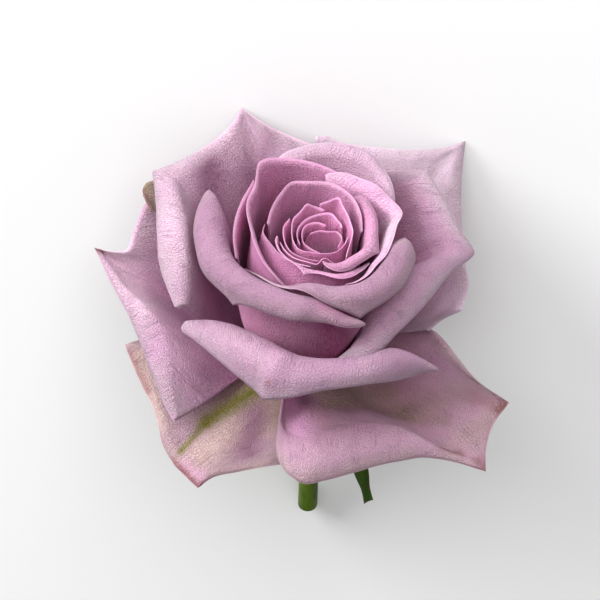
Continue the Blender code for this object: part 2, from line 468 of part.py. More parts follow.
def material_of(name):
    """The piece's own material: a Principled BSDF with its colour."""
    kind = next(k for k in COLOURS if name.startswith(k))
    material = bpy.data.materials.new(name)
    material.use_nodes = True
    shader = material.node_tree.nodes["Principled BSDF"]
    shader.inputs["Base Color"].default_value = (*COLOURS[kind], 1.0)
    shader.inputs["Roughness"].default_value = ROUGHNESS
    return material


def add_node(name, vertices, faces, turn, shift):
    mesh = bpy.data.meshes.new(name)
    mesh.from_pydata(((vertices @ turn.T + shift) / 1000).tolist(), [], faces.tolist())
    mesh.update()
    mesh.shade_smooth()
    mesh.set_sharp_from_angle(angle=np.radians(50))
    mesh.materials.append(material_of(name))
    bpy.context.collection.objects.link(bpy.data.objects.new(name, mesh))


def main():
    for obj in list(bpy.data.objects):
        bpy.data.objects.remove(obj, do_unlink=True)
    pushes = settle(PETALS)
    pieces = {"petal_" + name: petal(name, pushes[name]) for name in PETALS}
    pieces["hip"] = turned(HIP, STEM_SIDES)
    pieces["stem"] = stem()
    for name in SEPALS:
        pieces["sepal_" + name] = shell(sepal(name, 13, 4), SEPAL_THICK)
    turn, shift = lie_down(pieces)
    for name, (vertices, faces) in pieces.items():
        add_node(name, vertices, faces, turn, shift)


main()
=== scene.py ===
"""The look of a lavender hybrid tea rose that lies on its back petals, seen from above into the bloom.

The petals are built in the flower's own frame, in millimetres, and then laid down by the same turn as the
CAD solids: the origin is where the petals meet the hip, +Z runs up through the bloom, +X is the viewer's
right and -Y is towards the viewer.
"""

import bpy
import numpy as np
from mathutils import Matrix, Vector


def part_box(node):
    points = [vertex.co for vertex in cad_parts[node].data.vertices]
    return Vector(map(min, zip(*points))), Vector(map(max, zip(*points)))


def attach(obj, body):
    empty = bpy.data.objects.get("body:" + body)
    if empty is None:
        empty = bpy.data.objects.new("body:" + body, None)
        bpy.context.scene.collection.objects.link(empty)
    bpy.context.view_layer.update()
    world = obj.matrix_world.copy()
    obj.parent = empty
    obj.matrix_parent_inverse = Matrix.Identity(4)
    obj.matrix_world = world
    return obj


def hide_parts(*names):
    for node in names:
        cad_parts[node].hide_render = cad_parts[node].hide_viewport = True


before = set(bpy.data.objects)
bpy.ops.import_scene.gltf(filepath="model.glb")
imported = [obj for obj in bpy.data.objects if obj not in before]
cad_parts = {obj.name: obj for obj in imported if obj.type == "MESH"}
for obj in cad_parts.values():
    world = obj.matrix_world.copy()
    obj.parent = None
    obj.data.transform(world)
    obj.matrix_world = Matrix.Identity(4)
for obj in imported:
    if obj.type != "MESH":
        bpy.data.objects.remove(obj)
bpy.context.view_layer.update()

# What the petals curled round the heart share.
CURL = dict(rho=1.5, lip=0.2, lean=5, foot=20, pinch=0.9)

# Each petal, from the heart outwards. rim is a few points (x, y, z) along the crest of its rolled edge, from
# one side to the other. These are numbers, or lists read in even steps across the rim:
#   turn     how far the edge rolls over outwards, in degrees
#   rho      the roll's radius
#   lip      the length past the roll
#   lean     how far the blade leans out of upright below the roll, in degrees
#   foot     the same at its foot
# and these hold for the whole petal:
#   base     the (radius, height) of its foot
#   pinch    the angle it spans at its foot, as a share of that at its rim
#   belly    how strongly the blade bows at its two ends
#   tips     points added to the edge, as (place along the rim, height, width)
#   corners  the numbers of the rim points where it bends sharply
#   ends     the widths over which the roll fades at its two sides
#   free     true if it isn't moved out to clear the petals before it
#   drape    true if it leaves the next ones room under its rolled edge
PETALS = {
    "heart": dict(rim=[(0.6, 2.1, 45), (3, 2.6, 45.6), (5.5, 2.4, 45.6), (7.7, 2.5, 45.4), (9, 1, 45),
        (8, -1.6, 44)],
        turn=20, rho=1.5, lip=0.3, lean=-20, foot=10, base=(1, 1), pinch=0.9, belly=(0.3, 0.3)),
    "curl_a": dict(rim=[(4.7, 4.1, 45.5), (2.5, 5, 46), (0, 4.5, 46), (-1.6, 1.6, 46),
        (-1.1, -1.3, 45.5), (0.8, -3, 45.3), (3.3, -4.4, 45)],
        turn=15, base=(2, 0.8), **CURL),
    "curl_b": dict(rim=[(7.5, 2.4, 46), (7.5, 5.8, 47), (6.8, 6.8, 47.3), (2.5, 7.2, 46.8),
        (0.6, 6.4, 46.7), (-1.4, 4.5, 46.5), (-3, 1, 46.4), (-2.2, -2.2, 46)],
        turn=20, base=(2.5, 0.6), **CURL),
    "curl_c": dict(rim=[(4.4, 7.2, 47.5), (1.4, 8.6, 48.5), (0, 8.8, 49.5), (-2.2, 7.2, 48),
        (-3.9, 5.2, 47.7), (-4.4, 2.3, 47.6), (-3.9, -1.7, 47), (-2.7, -3.8, 46.7), (0.8, -5.1, 46.5),
        (4.7, -5.5, 46.5), (7.2, -5.1, 46.5), (9.4, -2.7, 46.5), (10.5, 0, 46.5)],
        turn=20, base=(3, 0.4), **CURL),
    "curl_d": dict(rim=[(3.2, 9.2, 48.5), (6, 10, 49.5), (8.2, 10.2, 50.5), (9.4, 8, 49.5),
        (10.8, 5, 49), (11.6, 2, 48.5), (11.1, -1.7, 47.5), (10.3, -6, 45.5)],
        turn=15, base=(3.5, 0.2), **CURL),
    "frill_left": dict(rim=[(-5, 6.5, 46), (-6.7, 2.4, 47.2), (-6.4, -1.2, 46.5), (-4.6, -4.4, 46),
        (-1, -6.3, 45.6), (3, -6.9, 45)],
        turn=25, rho=1, lip=0.2, lean=10, foot=25, base=(3.8, 0.1), pinch=0.9),
    "frill_front": dict(rim=[(-7, -1, 45.6), (-5.9, -3.9, 46.6), (-3.6, -6.4, 46.4), (0.4, -8.3, 46.4),
        (2.4, -8.6, 46.2), (3.8, -7.6, 47.2), (8, -8.4, 45)],
        turn=[25, 40, 40, 30, 20], rho=1, lip=0.3, lean=10, foot=25, base=(4, 0.1), pinch=0.9),
    "frill_low": dict(rim=[(-8, 0.6, 46.2), (-7.4, -2.8, 46.6), (-5.4, -5.8, 46.6), (-2.4, -7.9, 46.6),
        (0.8, -9.2, 46.2)],
        turn=[30, 50, 50, 40], rho=1, lip=0.3, lean=10, foot=28, base=(4.1, 0.1), pinch=0.9),
    "ring_back": dict(rim=[(14.5, 2, 46), (14, 6.5, 48.5), (11.5, 11.5, 49.5), (6, 15.6, 49.5),
        (0, 16.2, 49.5), (-4.6, 15.8, 49.5), (-6.8, 13, 49.5), (-9.9, 6.6, 49.5), (-10.9, 2.6, 48.8)],
        turn=30, rho=2, lip=0.5, lean=8, foot=40, base=(4.2, 0), pinch=0.8),
    "ring_right": dict(rim=[(12, 11, 48.5), (14.5, 10.5, 48.5), (16.7, 8.2, 48.5), (17.6, 4.75, 48.5),
        (17.6, -0.2, 48.5), (17.3, -4, 48.5), (15.5, -6.6, 48.5), (12.7, -8.8, 48.5),
        (10.2, -10.2, 48.5), (5.8, -10.7, 48.5), (3.9, -8.9, 48.5)],
        turn=[60, 90, 105, 115, 120, 115, 60], rho=1.7, lip=0.8, lean=10, foot=45, base=(4.5, 0),
        pinch=0.8, tips=[(5.3, 1.6, 1.2)]),
    "ring_front": dict(rim=[(-11.2, 3, 48), (-11.8, 0.4, 48.6), (-9.5, -3.9, 48.3), (-6.6, -7.7, 48.3),
        (-3.4, -9.8, 48.3), (-0.4, -11.8, 48.3), (2.9, -12.6, 48), (8.2, -13.8, 47.8),
        (13.5, -11.2, 46.5), (16.5, -7.5, 45)],
        turn=[10, 40, 75, 90, 100, 60], rho=[0.5, 0.7, 0.9, 1.2, 1.5, 1],
        lip=[0.3, 0.6, 0.8, 0.8, 0.8, 0.4], lean=[-5, -18, -22, -18, -5, 8], foot=52, base=(4.8, 0),
        pinch=0.8, tips=[(5, 2.4, 1.2)]),
    "bud_right": dict(rim=[(4.7, 17.3, 49.5), (10, 18.2, 49.5), (14.3, 16.6, 49.5), (18, 14.6, 49.5),
        (21, 11.7, 48.5), (24.7, 7, 47.5), (23.4, 3.6, 47.5), (22.3, -1.6, 47.5), (20.5, -6.6, 47.5),
        (18, -9.6, 47.5), (15.7, -12.5, 46.5), (12.9, -14.8, 46.5), (10, -15, 45.5)],
        turn=[60, 60, 60, 60, 30], rho=[3, 3, 3, 2.2, 1.2], lip=[1, 1, 1, 0.5, 0.2], lean=15, foot=55,
        base=(5.2, 0), pinch=0.75),
    "bud_left": dict(rim=[(10, 17.6, 48.5), (3.3, 21.6, 49.5), (-5, 23, 50.5), (-12.9, 20.9, 52),
        (-14.3, 14.3, 50.5), (-16.1, 10, 49.5), (-15.1, 0.3, 49.5), (-11.6, -8.2, 47.5),
        (-7.6, -11.8, 45.5), (-4, -13.3, 42)],
        turn=40, rho=3, lip=0.5, lean=8, foot=55, base=(5.6, 0), pinch=0.75),
    "bud_side": dict(rim=[(-14.6, 18.8, 46.5), (-18.3, 11, 46), (-19.9, 3.7, 45.5), (-19.3, -3, 41)],
        turn=40, rho=2, lip=0.5, lean=10, foot=60, base=(6.2, -0.3)),
    "shell_back": dict(rim=[(-9, 26, 43), (-6.9, 27.9, 45), (-2.2, 29.9, 46), (4.7, 31.3, 46),
        (12.9, 29.9, 46), (17.9, 26.6, 46), (19.8, 23.9, 45), (21.7, 20.5, 45), (23.2, 13.2, 44),
        (22.8, 7, 41)],
        turn=70, rho=[3, 3, 3, 2.4, 0.8], lip=[1, 1, 1, 0.8, 0.2], lean=20, foot=60, base=(6.4, -0.3)),
    "collar_right": dict(rim=[(-17.1, -7.2, 42), (-7.7, -14.2, 45.5), (0.5, -18.5, 49),
        (8, -20.5, 49.5), (14, -18.8, 49.3), (20, -14, 48.8), (23.4, -9, 48), (25.4, -3.7, 47.3),
        (26, 0.3, 45.5)],
        turn=[40, 55, 85, 130, 145, 150, 150, 150], rho=[0.6, 0.8, 1.4, 2.4, 3.2, 3.8, 4, 4],
        lip=[0.2, 0.3, 0.5, 1, 1.6, 2, 2, 2], lean=10, foot=60, base=(6.8, -0.6),
        tips=[(3.7, 4, 3)], ends=(1, 6), drape=True),
    "collar_left": dict(rim=[(-26.8, 18.9, 42), (-27.6, 6.8, 43.5), (-23.4, -6, 45.2),
        (-15.5, -14.8, 46.8), (-7.7, -19.5, 47.6), (-2.2, -22.3, 47.6), (4.7, -23.8, 46.7),
        (10, -26, 45.2), (15.3, -26.1, 43.2)],
        turn=[120, 150, 170, 170, 170, 165, 150, 120], rho=[4.2, 4.4, 4.4, 4, 3.5, 3.3, 2.6, 1.1],
        lip=[2, 3, 3.5, 2.6, 1.8, 1.6, 1.4, 0.5], lean=[25, 20, 10, 12, 18], foot=[60, 60, 60, 56, 50],
        base=(7.2, -0.8), tips=[(2.9, 3.5, 2.5)], ends=(9, 2)),
    "guard_right": dict(rim=[(19, 27.5, 38), (27, 28.6, 37.5), (32.2, 28.8, 37), (37.3, 19.2, 35),
        (40.5, 12.2, 33), (42.5, 6.8, 31.5), (36, -1, 34.5), (30.5, -8, 36.5), (23.4, -15, 36),
        (15.8, -21.8, 33.4), (6.8, -27.6, 28.2)],
        turn=[60, 70, 80, 100, 125, 145, 150, 90], rho=[3, 6, 7, 7, 6.5, 6, 4.5, 0.8],
        lip=[1, 1, 1, 1, 1, 1.5, 1, 0], lean=[30, 35, 35, 30, 15, 10], foot=65, base=(7.6, -1),
        corners=(2,), tips=[(5, 2, 3)]),
    "wing_back_left": dict(rim=[(-34.8, -7.4, 24), (-36.6, -0.7, 27.5), (-37.5, 4.5, 30),
        (-38, 11.2, 33), (-38.6, 16.7, 35), (-40, 23.9, 36.5), (-41.2, 29.4, 37), (-36.4, 30.3, 38.5),
        (-28, 36.5, 38.5), (-21, 43.3, 38.5), (-18.2, 49, 39), (-11.1, 42.6, 39.5), (-2.2, 36.8, 40.5),
        (3.9, 33.6, 41)],
        turn=[100, 120, 125, 110, 70, 40, 20, 25, 30], rho=[2.5, 4.2, 4.6, 4.6, 5, 4, 3, 3, 3],
        lip=[1, 2, 2, 1.5, 1, 1, 1], lean=[30, 30, 35, 45, 50, 50, 45, 40, 35], foot=75,
        base=(8.4, -1.5), corners=(6, 10)),
    "withered": dict(rim=[(-43.3, 23, 28), (-44.6, 25, 29.4), (-45.3, 27, 30.5), (-44.2, 29.2, 31),
        (-42, 30.9, 30.4)],
        turn=40, rho=1, lip=0.6, lean=50, foot=75, base=(8.5, -1.5), pinch=1.4),
    "guard_front": dict(rim=[(-33, -13.8, 26.5), (-27, -18, 30), (-16, -26.7, 33.5),
        (-6.3, -32.6, 34.6), (6, -34.6, 36.2), (17.5, -33.9, 36.9), (25.3, -29.9, 33.7), (35.2, -30, 27)],
        turn=[110, 145, 160, 165, 165, 168, 170, 150], rho=[3.5, 4.6, 5.6, 5.8, 4.3, 3.8, 4.4, 0.8],
        lip=[2, 2.5, 3, 3, 2.2, 2, 2, 0], lean=[20, 15, 8, -3, -3, 10, 45], foot=70, base=(8, -1.2),
        tips=[(2.75, 2.5, 4)], ends=(3, 0)),
    "wing_back_right": dict(rim=[(2, 40.5, 37), (5.1, 41.4, 36), (7.9, 40.1, 35.5), (16, 38.6, 35),
        (31.9, 38.8, 33.5), (38.6, 40.2, 33), (43, 42.1, 33), (42.1, 34.7, 27.5), (41.9, 30.7, 24),
        (42.1, 24.7, 20.5), (43, 13, 16), (43.9, 8.6, 14), (42.1, 0.5, 11.5), (36.5, -1.5, 9.5),
        (33, -4, 8)],
        turn=[30, 30, 40, 50, 50, 40, 30, 30, 30], rho=[3, 4, 4, 4, 5, 5, 5, 4, 3], lip=1,
        lean=[45, 50, 55, 60, 60, 65, 70], foot=85, base=(8.8, -2), free=True,
        corners=(1, 6, 12)),
    "wing_left": dict(rim=[(-36.5, -28, -1), (-39.8, -22.5, 2), (-43, -13, 4.5), (-46, -5, 7),
        (-51.6, 5.3, 11), (-58.6, 18.3, 16), (-54, 15.7, 17.5), (-50.2, 14.9, 19), (-47.6, 19.9, 22),
        (-43.5, 27.8, 26), (-36, 33, 27)],
        turn=[40, 90, 100, 80, 30, 20, 30, 30], rho=[2, 4, 5, 4, 3, 2, 2, 2],
        lip=[0.5, 1, 1, 1, 0.5, 0.5, 0.5], lean=[80, 70, 60, 60, 60, 55], foot=92, base=(9.2, -2.4),
        pinch=0.8, free=True, corners=(5,)),
    "skirt_right": dict(rim=[(-6.9, -21, 2), (-8, -29, 1.5), (-8.5, -37, 0), (-6.4, -42.5, -2),
        (-2.3, -45, -3), (5, -43.6, -2.5), (11.9, -41.8, -2.5), (18.7, -39.8, -2.5), (32.4, -37.7, -3),
        (41.5, -38.5, -5), (48.4, -40.3, -6.5), (48.6, -34.5, -4), (50.2, -28.9, -2.5),
        (54.9, -22, -0.5), (46.1, -15.6, 1.5), (40.6, -8.8, 3), (34.7, -1, 3.8), (30, 2, 3.6)],
        turn=[30, 60, 100, 100, 90, 50, 30, 20, 30, 30], rho=[3, 6, 8, 8, 7, 5, 3, 3, 3, 3],
        lip=[0.5, 1, 1, 1, 1, 1, 0.5, 0.5, 0.5, 0.5], lean=[70, 65, 65, 70, 75, 80, 80, 75], foot=112,
        base=(9.6, -2.8), free=True, corners=(10, 13)),
    "skirt_left": dict(rim=[(-4, -37, -8), (-9.4, -37.6, -8), (-19.8, -38.8, -9.5),
        (-26.2, -39.8, -10.5), (-30.1, -42.4, -11.5), (-36.2, -36.2, -10), (-39.7, -30.3, -9),
        (-41.7, -21.3, -7.5), (-46.3, -10.3, -6.5), (-50.4, 0.3, -5), (-45.8, 1.4, -3.5), (-38, 3, -3)],
        turn=[20, 30, 40, 40, 30, 30, 20], rho=[2, 3, 3, 3, 3, 2], lip=[0.5, 1, 1, 1, 0.5],
        lean=[90, 95, 95, 90], foot=100, base=(10, -3.2), free=True, corners=(4, 9)),
}
# What holds for a petal that says nothing else.
COMMON = dict(pinch=0.6, belly=(0.42, 0.40), tips=(), corners=(), ends=(0, 0), free=False, drape=False)

AXIS_LEAN = 0.074    # the bloom's axis leans this much towards +X for each mm of height
SOFT, SOFT_STEPS = 0.11, 9    # share of the rim over which its corners are worn off lower down
FADE = 5    # how fast the corners appear towards the rim
LEAST_TURN, LEAST_RHO, LEAST_LIP = 0.02, 0.5, 0.15    # the turn is in radians
TINY = 1e-12    # keeps a divisor from being 0

# Petals are kept apart on a map of the room they take: the radius reached in each cell of azimuth, in
# degrees, and height, in mm. A coarse grid of each petal is moved out, and a dense one is then entered in the
# map. Grids are given as columns, and as rows up the blade, round the roll and along the lip.
AZ_STEP, AZ_CELLS, Z_STEP, Z_LOW, Z_CELLS = 3, 120, 1, -30, 100
COARSE_COLUMNS, COARSE_ROWS = 48, (24, 10, 6)
DENSE_COLUMNS, DENSE_ROWS = 240, (120, 30, 20)
GAP = 0.8    # between the middle surfaces of neighbouring petals
LEAST_RISE = 0.45    # below this steepness of a blade, its gap is no longer widened
ROLL_CLEARED = 4    # coarse rows of the roll that are kept clear like the blade
SPREAD_TIMES, BLUR_TIMES = (2, 1), (6, 3)    # rounds across and up a petal that make its move smooth

# The finished petals: their grids, small ones for the heart, their thickness, and how folds are smoothed.
COLUMNS, ROWS = 110, (60, 26, 12)
SMALL_COLUMNS = {"heart": 50, "curl_a": 70, "curl_b": 70, "curl_c": 100, "curl_d": 60, "frill_left": 60,
                 "frill_front": 60, "frill_low": 60}
SMALL_ROWS = (36, 10, 4)
PETAL_THICK, SEPAL_THICK = 0.3, 0.5
THIN_SHARE, THIN_WIDTH = 0.35, 1.5    # share left at the edge, and the width over which it grows
SMOOTH_TIMES, SMOOTH_FROM, SMOOTH_FULL = 12, 1, 7    # rounds, and distances from the edge

# Soft waves: their height, and their lengths across and along the petal. Dry parts have their own.
WAVE = 0.25
WAVES = {"heart": 0.08, "curl_a": 0.05, "curl_b": 0.05, "curl_c": 0.08, "curl_d": 0.08, "frill_left": 0.05,
         "frill_front": 0.05, "frill_low": 0.05, "ring_back": 0.1, "ring_right": 0.1, "ring_front": 0.1,
         "bud_right": 0.12, "bud_left": 0.12, "shell_back": 0.2, "withered": 0.5}
LONG_WAVE, SHORT_WAVE, DRY_WAVE = (9, 14), (4, 8), (2, 2.5)
SHORT_SHARE, DRY_HEIGHT = 0.35, 0.5
RELIEF_FROM, RELIEF_FULL = 0.15, 0.65    # shares of the way up between which waves and creases grow
FLOOR_CLEAR = 6    # height above the floor below which they fade out
NOISE_CELLS = 64    # after which the noise repeats
UV_MM, UV_SHIFT = 100, 0.37    # mm to a unit of the UV map, and how far each petal moves on in it

# Soft ridges and, with a height below 0, valleys: strokes between two points (x, y) seen along the flower's
# axis, with their half width and height.
CREASES = {
    "guard_front": [((-10.5, -37), (-6.5, -31), 2.5, 0.7)],
    "wing_back_left": [((-27, 10), (-25, 34), 5.0, -1.3), ((-38, 8), (-39, 22), 4.0, 0.5)],
    "skirt_left": [
        ((-8, -16), (-14, -32), 3.5, -0.9), ((-20, -20), (-24, -34), 4.0, 0.6),
        ((-12, -14), (-34, -30), 1.6, -0.5)],
    "skirt_right": [
        ((0, -20), (12, -22.5), 2.5, -0.8), ((12, -22.5), (26, -21), 2.5, -0.6),
        ((24, -28), (38, -34), 3.0, -0.7), ((36, -14), (46, -20), 3.0, -0.5)],
    "wing_left": [((-50, 8), (-38, -18), 4.0, -0.6)],
    "withered": [((-45, 27), (-38, 23), 1.2, -0.9)],
}

# The hip's outline as (radius, height), from the middle of its top down to the stem.
HIP = [(0.8, 0.3), (3.0, -0.1), (5.6, -0.45), (6.6, -0.75), (7.6, -1.25), (8.3, -1.95), (8.8, -2.6),
       (9.1, -3.2), (8.9, -4.6), (8.2, -6.6), (7.1, -9.2), (5.5, -11.6), (4.1, -13.6), (3.3, -15.0)]
HIP_SIDES = 24
LYING = (20.252, -3.972)    # the pitch and roll, in degrees, at which the flower rests

# Sepals: azimuth of the base, tip x, y, z, and how far the middle bows out. All start at the same radius and
# height. Their half widths run from base to tip, where they end bluntly.
SEPALS = {"front_right": (-62, 16.7, -27.6, -41.0, 4.6), "right": (10, 27.0, 4.0, -33.0, 5.0),
          "back": (84, 1.0, 14.5, -36.0, 3.0), "left": (152, -19.0, 9.5, -34.0, 4.0),
          "front_left": (-134, -13.5, -14.5, -36.0, 4.0)}
SEPAL_RADIUS, SEPAL_HEIGHT = 9.0, -6.4
SEPAL_HALF = (3.6, 3.4, 3.0, 2.7, 2.4, 2.0, 1.3, 1.4)
SEPAL_DISH = 0.25    # how far the sides bend out, as a share of the half width
SEPAL_GRID = (60, 12)

# Slots of the petals, by how their names start, and the looks of each slot. face and back colour the two
# sides. rim, deep_shade and base tint the edge over rim_mm, the lower part, and the foot up to the share
# base_to of the way up. deep_shade is partly the petals' own deeper colour and partly painted shade down in
# the bloom, and the dark base of the inner and guard petals is partly painted shade low in the bud. cream is
# the strength of the cream-coloured clouds.
SLOTS = {"petals_heart": ("heart", "curl", "frill"), "petals_inner": ("ring", "bud", "shell"),
         "petals_guard": ("collar", "guard"), "petals_wing": ("wing", "withered"), "petals_skirt": ("skirt",)}
COMMON_LOOK = dict(base_to=0.3, rim_mm=7.0)
LOOKS = {
    "petals_heart": dict(
        face=(0.68, 0.27, 0.48), back=(0.72, 0.34, 0.54), rim=(0.68, 0.32, 0.53),
        deep_shade=(0.67, 0.29, 0.47), base=(0.58, 0.24, 0.4), rim_mm=2.5, cream=0.05),
    "petals_inner": dict(
        face=(0.56, 0.245, 0.42), back=(0.52, 0.19, 0.37), rim=(0.53, 0.27, 0.42),
        deep_shade=(0.42, 0.09, 0.23), base=(0.32, 0.05, 0.15), rim_mm=4, cream=0.1),
    "petals_guard": dict(
        face=(0.34, 0.18, 0.28), back=(0.52, 0.2, 0.38), rim=(0.37, 0.225, 0.3),
        deep_shade=(0.48, 0.12, 0.28), base=(0.32, 0.05, 0.14), cream=0.1),
    "petals_wing": dict(
        face=(0.5, 0.31, 0.43), back=(0.38, 0.19, 0.31), rim=(0.6, 0.47, 0.56),
        deep_shade=(0.34, 0.13, 0.25), base=(0.36, 0.28, 0.17), cream=0.25),
    "petals_skirt": dict(
        face=(0.5, 0.295, 0.41), back=(0.38, 0.21, 0.28), rim=(0.48, 0.32, 0.37),
        deep_shade=(0.38, 0.2, 0.27), base=(0.34, 0.27, 0.18), cream=0.25),
}
OWN_LOOKS = {
    # The heart's light face and deep_shade are painted light in its shaded hollow.
    "heart": dict(face=(0.88, 0.45, 0.68), deep_shade=(0.8, 0.4, 0.6)),
    "ring_right": dict(rim=(0.45, 0.22, 0.35)),
    # bud_right's light face is painted light on a side that lies in shade.
    "bud_right": dict(face=(0.72, 0.38, 0.58), rim=(0.6, 0.34, 0.49)),
    "shell_back": dict(face=(0.55, 0.345, 0.475), rim=(0.5, 0.33, 0.44)),
    "collar_left": dict(deep_shade=(0.62, 0.26, 0.43)),
    "guard_right": dict(face=(0.46, 0.25, 0.38), rim=(0.5, 0.36, 0.45)),
    "guard_front": dict(face=(0.36, 0.2, 0.305), rim=(0.42, 0.27, 0.365)),
    "wing_back_left": dict(face=(0.52, 0.33, 0.45), rim=(0.49, 0.34, 0.43), rim_mm=13, cream=0.1),
    "wing_back_right": dict(face=(0.68, 0.5, 0.62), rim=(0.55, 0.41, 0.5)),
    "wing_left": dict(face=(0.5, 0.28, 0.42), rim=(0.41, 0.275, 0.355), rim_mm=12, cream=0.12),
    "skirt_left": dict(face=(0.35, 0.22, 0.28), rim=(0.36, 0.25, 0.265), deep_shade=(0.31, 0.2, 0.2), base_to=0.4),
    "withered": dict(face=(0.4, 0.3, 0.25), back=(0.3, 0.19, 0.15), rim=(0.18, 0.1, 0.08), rim_mm=1.5),
}
CREAM, SPECK = (0.52, 0.41, 0.4), (0.2, 0.07, 0.1)

# Tints laid on single petals, as strokes with their half width and strength. deep_shade and wine_shade are
# painted shade in valleys, folds and under overhanging petals, and light is painted light where a part lies
# in shade. brown_and_shadow is the dry colour of withered parts and, under the front guard petal, a painted
# shadow. The other tints are the petals' own colours.
TINTS = {"green": (0.15, 0.135, 0.02), "dry": (0.24, 0.1, 0.1), "pink": (0.74, 0.37, 0.6),
         "pale": (0.5, 0.355, 0.34), "light": (0.68, 0.45, 0.58), "deep_shade": (0.245, 0.105, 0.19),
         "brown_and_shadow": (0.18, 0.15, 0.085), "wine_shade": (0.29, 0.04, 0.145)}
MARKS_AND_PAINTED_LIGHT = {
    "skirt_left": [
        ("pale", (-20, -27), (-30, -34), 5, 0.9), ("pale", (-46, -4), (-42, -24), 4, 0.9),
        ("pale", (-9, -16), (-12, -26), 3, 0.6), ("pink", (-34, -37), (-29, -41), 2.5, 0.4),
        # Painted shade along the fold beside the green stripe.
        ("deep_shade", (-14, -22), (-17, -32), 4, 0.7), ("green", (-7, -14), (-8, -24), 3.5, 0.25),
        ("green", (-11, -12), (-28, -24), 2.4, 1), ("green", (-28, -24), (-35, -33), 1, 0.9),
        ("brown_and_shadow", (-16, -18), (-24, -23), 1.2, 0.5), ("dry", (-37, -35), (-31, -41), 1, 0.8),
        ("dry", (-30, -41.8), (-12, -38.6), 0.7, 0.7), ("dry", (-49, -2), (-44, -14), 1.2, 0.6)],
    "skirt_right": [
        # The deep_shade strokes and the first two brown_and_shadow strokes are painted shadow under the front
        # guard petal's rolled edge.
        ("pink", (-5, -20), (-2, -31), 4.5, 1), ("deep_shade", (-1, -19), (10, -22.5), 2.2, 0.6),
        ("deep_shade", (10, -22.5), (28, -20), 2.2, 0.6), ("brown_and_shadow", (6, -18), (22, -15), 3.5, 0.5),
        ("brown_and_shadow", (30, -20), (42, -19), 4, 0.35), ("green", (6, -21), (26, -20), 2.6, 0.35),
        ("green", (26, -22), (38, -25), 1.8, 0.3),
        ("pale", (40, -34), (50, -26), 4, 0.4), ("dry", (36, -35), (42, -36), 1.2, 0.7),
        ("dry", (46, -20), (54, -23), 2.2, 0.45), ("dry", (52, -24), (55, -22), 1.6, 0.8),
        ("dry", (46.5, -38), (48.5, -40.5), 1.4, 0.7)],
    # The light stroke is painted light on the left part of this petal.
    "wing_left": [("light", (-51, 15), (-46, 3), 5, 0.8), ("dry", (-58.6, 18.3), (-57, 17.5), 1, 0.7)],
    "wing_back_left": [
        # The deep_shade strokes are painted shade in the valley beside the rolled left edge and in two other
        # shaded places; the light strokes are painted light on the rolled edge and near the tip.
        ("deep_shade", (-27, 6), (-25, 30), 5, 0.9), ("deep_shade", (-22, -2), (-27, -8), 6, 0.7),
        ("deep_shade", (-16, 34), (-11, 39), 3, 0.5), ("light", (-22, 41), (-24, 48), 4, 0.6),
        ("light", (-33.5, 4), (-35, 14), 3.5, 0.9)],
    "guard_front": [
        # The light stroke is painted light on the petal's left end.
        ("light", (-28, -20), (-10, -32), 4.5, 0.25),
        ("dry", (-10.6, -36.4), (-10, -36.6), 0.5, 0.6)],
    # Painted shade on the blade low in the bud, beside the right guard petal.
    "collar_left": [("wine_shade", (6, -20), (9.5, -21.2), 4, 0.8)],
    # Painted light on the part of bud_right that lies in shade.
    "bud_right": [("light", (20, -1), (23, 5), 3.5, 1)],
    "withered": [("brown_and_shadow", (-45, 26), (-44, 30), 1.4, 0.8), ("dry", (-43, 23), (-45, 27), 1, 0.8)],
}

# Strengths of the patterns in the petals' relief, and the other settings of their surface.
PETAL_RELIEF = {"streak": 0.35, "cells": 0.25, "net": 0.7, "grain": 0.8, "veins": -0.5, "cracks": -0.2}
PETAL_SURFACE = {"Roughness": 0.6, "Specular IOR Level": 0.25, "Sheen Weight": 0.08, "Sheen Roughness": 0.5,
                 "Sheen Tint": (0.95, 0.85, 1.0), "Subsurface Weight": 0.25,
                 "Subsurface Radius": (1.0, 0.4, 0.65), "Subsurface Scale": 0.001}

# The green parts: a light and a dark green each, and reddish specks.
GREENS = {"sepal": ((0.06, 0.14, 0.012), (0.02, 0.06, 0.006)),
          "hip": ((0.1, 0.2, 0.015), (0.035, 0.09, 0.006)),
          "stem": ((0.1, 0.18, 0.006), (0.025, 0.06, 0.003))}
GREEN_SPECK = (0.2, 0.05, 0.03)
GREEN_SURFACE = {"Roughness": 0.42, "Specular IOR Level": 0.08, "Subsurface Weight": 0.08,
                 "Subsurface Scale": 0.001}

# The view: the line of sight above the petals' base plane, in degrees, and the rest in mm.
VIEW_ELEVATION = 55
VIEW_CENTRE = (-2.2, 7.9, 5.5)
VIEW_DISTANCE, VIEW_WIDTH = 2000, 165
SENSOR, CLIP_END = 36, 10    # the camera's sensor in mm, and how far it sees in m

# Lights: the way to each as shares of the viewer's right, up and line of sight, its size in m and its watts.
LIGHTS = {"key": ((-1, 0.6, 0.7), 1.2, 53), "fill": ((0, 0.4, 1), 1.8, 32)}
LIGHT_DISTANCE, LIGHT_TARGET = 2.0, (0, 0, 0.03)
WHITE, WORLD_STRENGTH = (1, 1, 1, 1), 0.4
FLOOR_SIZE, FLOOR_COLOUR, FLOOR_ROUGHNESS = 6, (0.94, 0.94, 0.94), 0.9


# ---- curves and grids

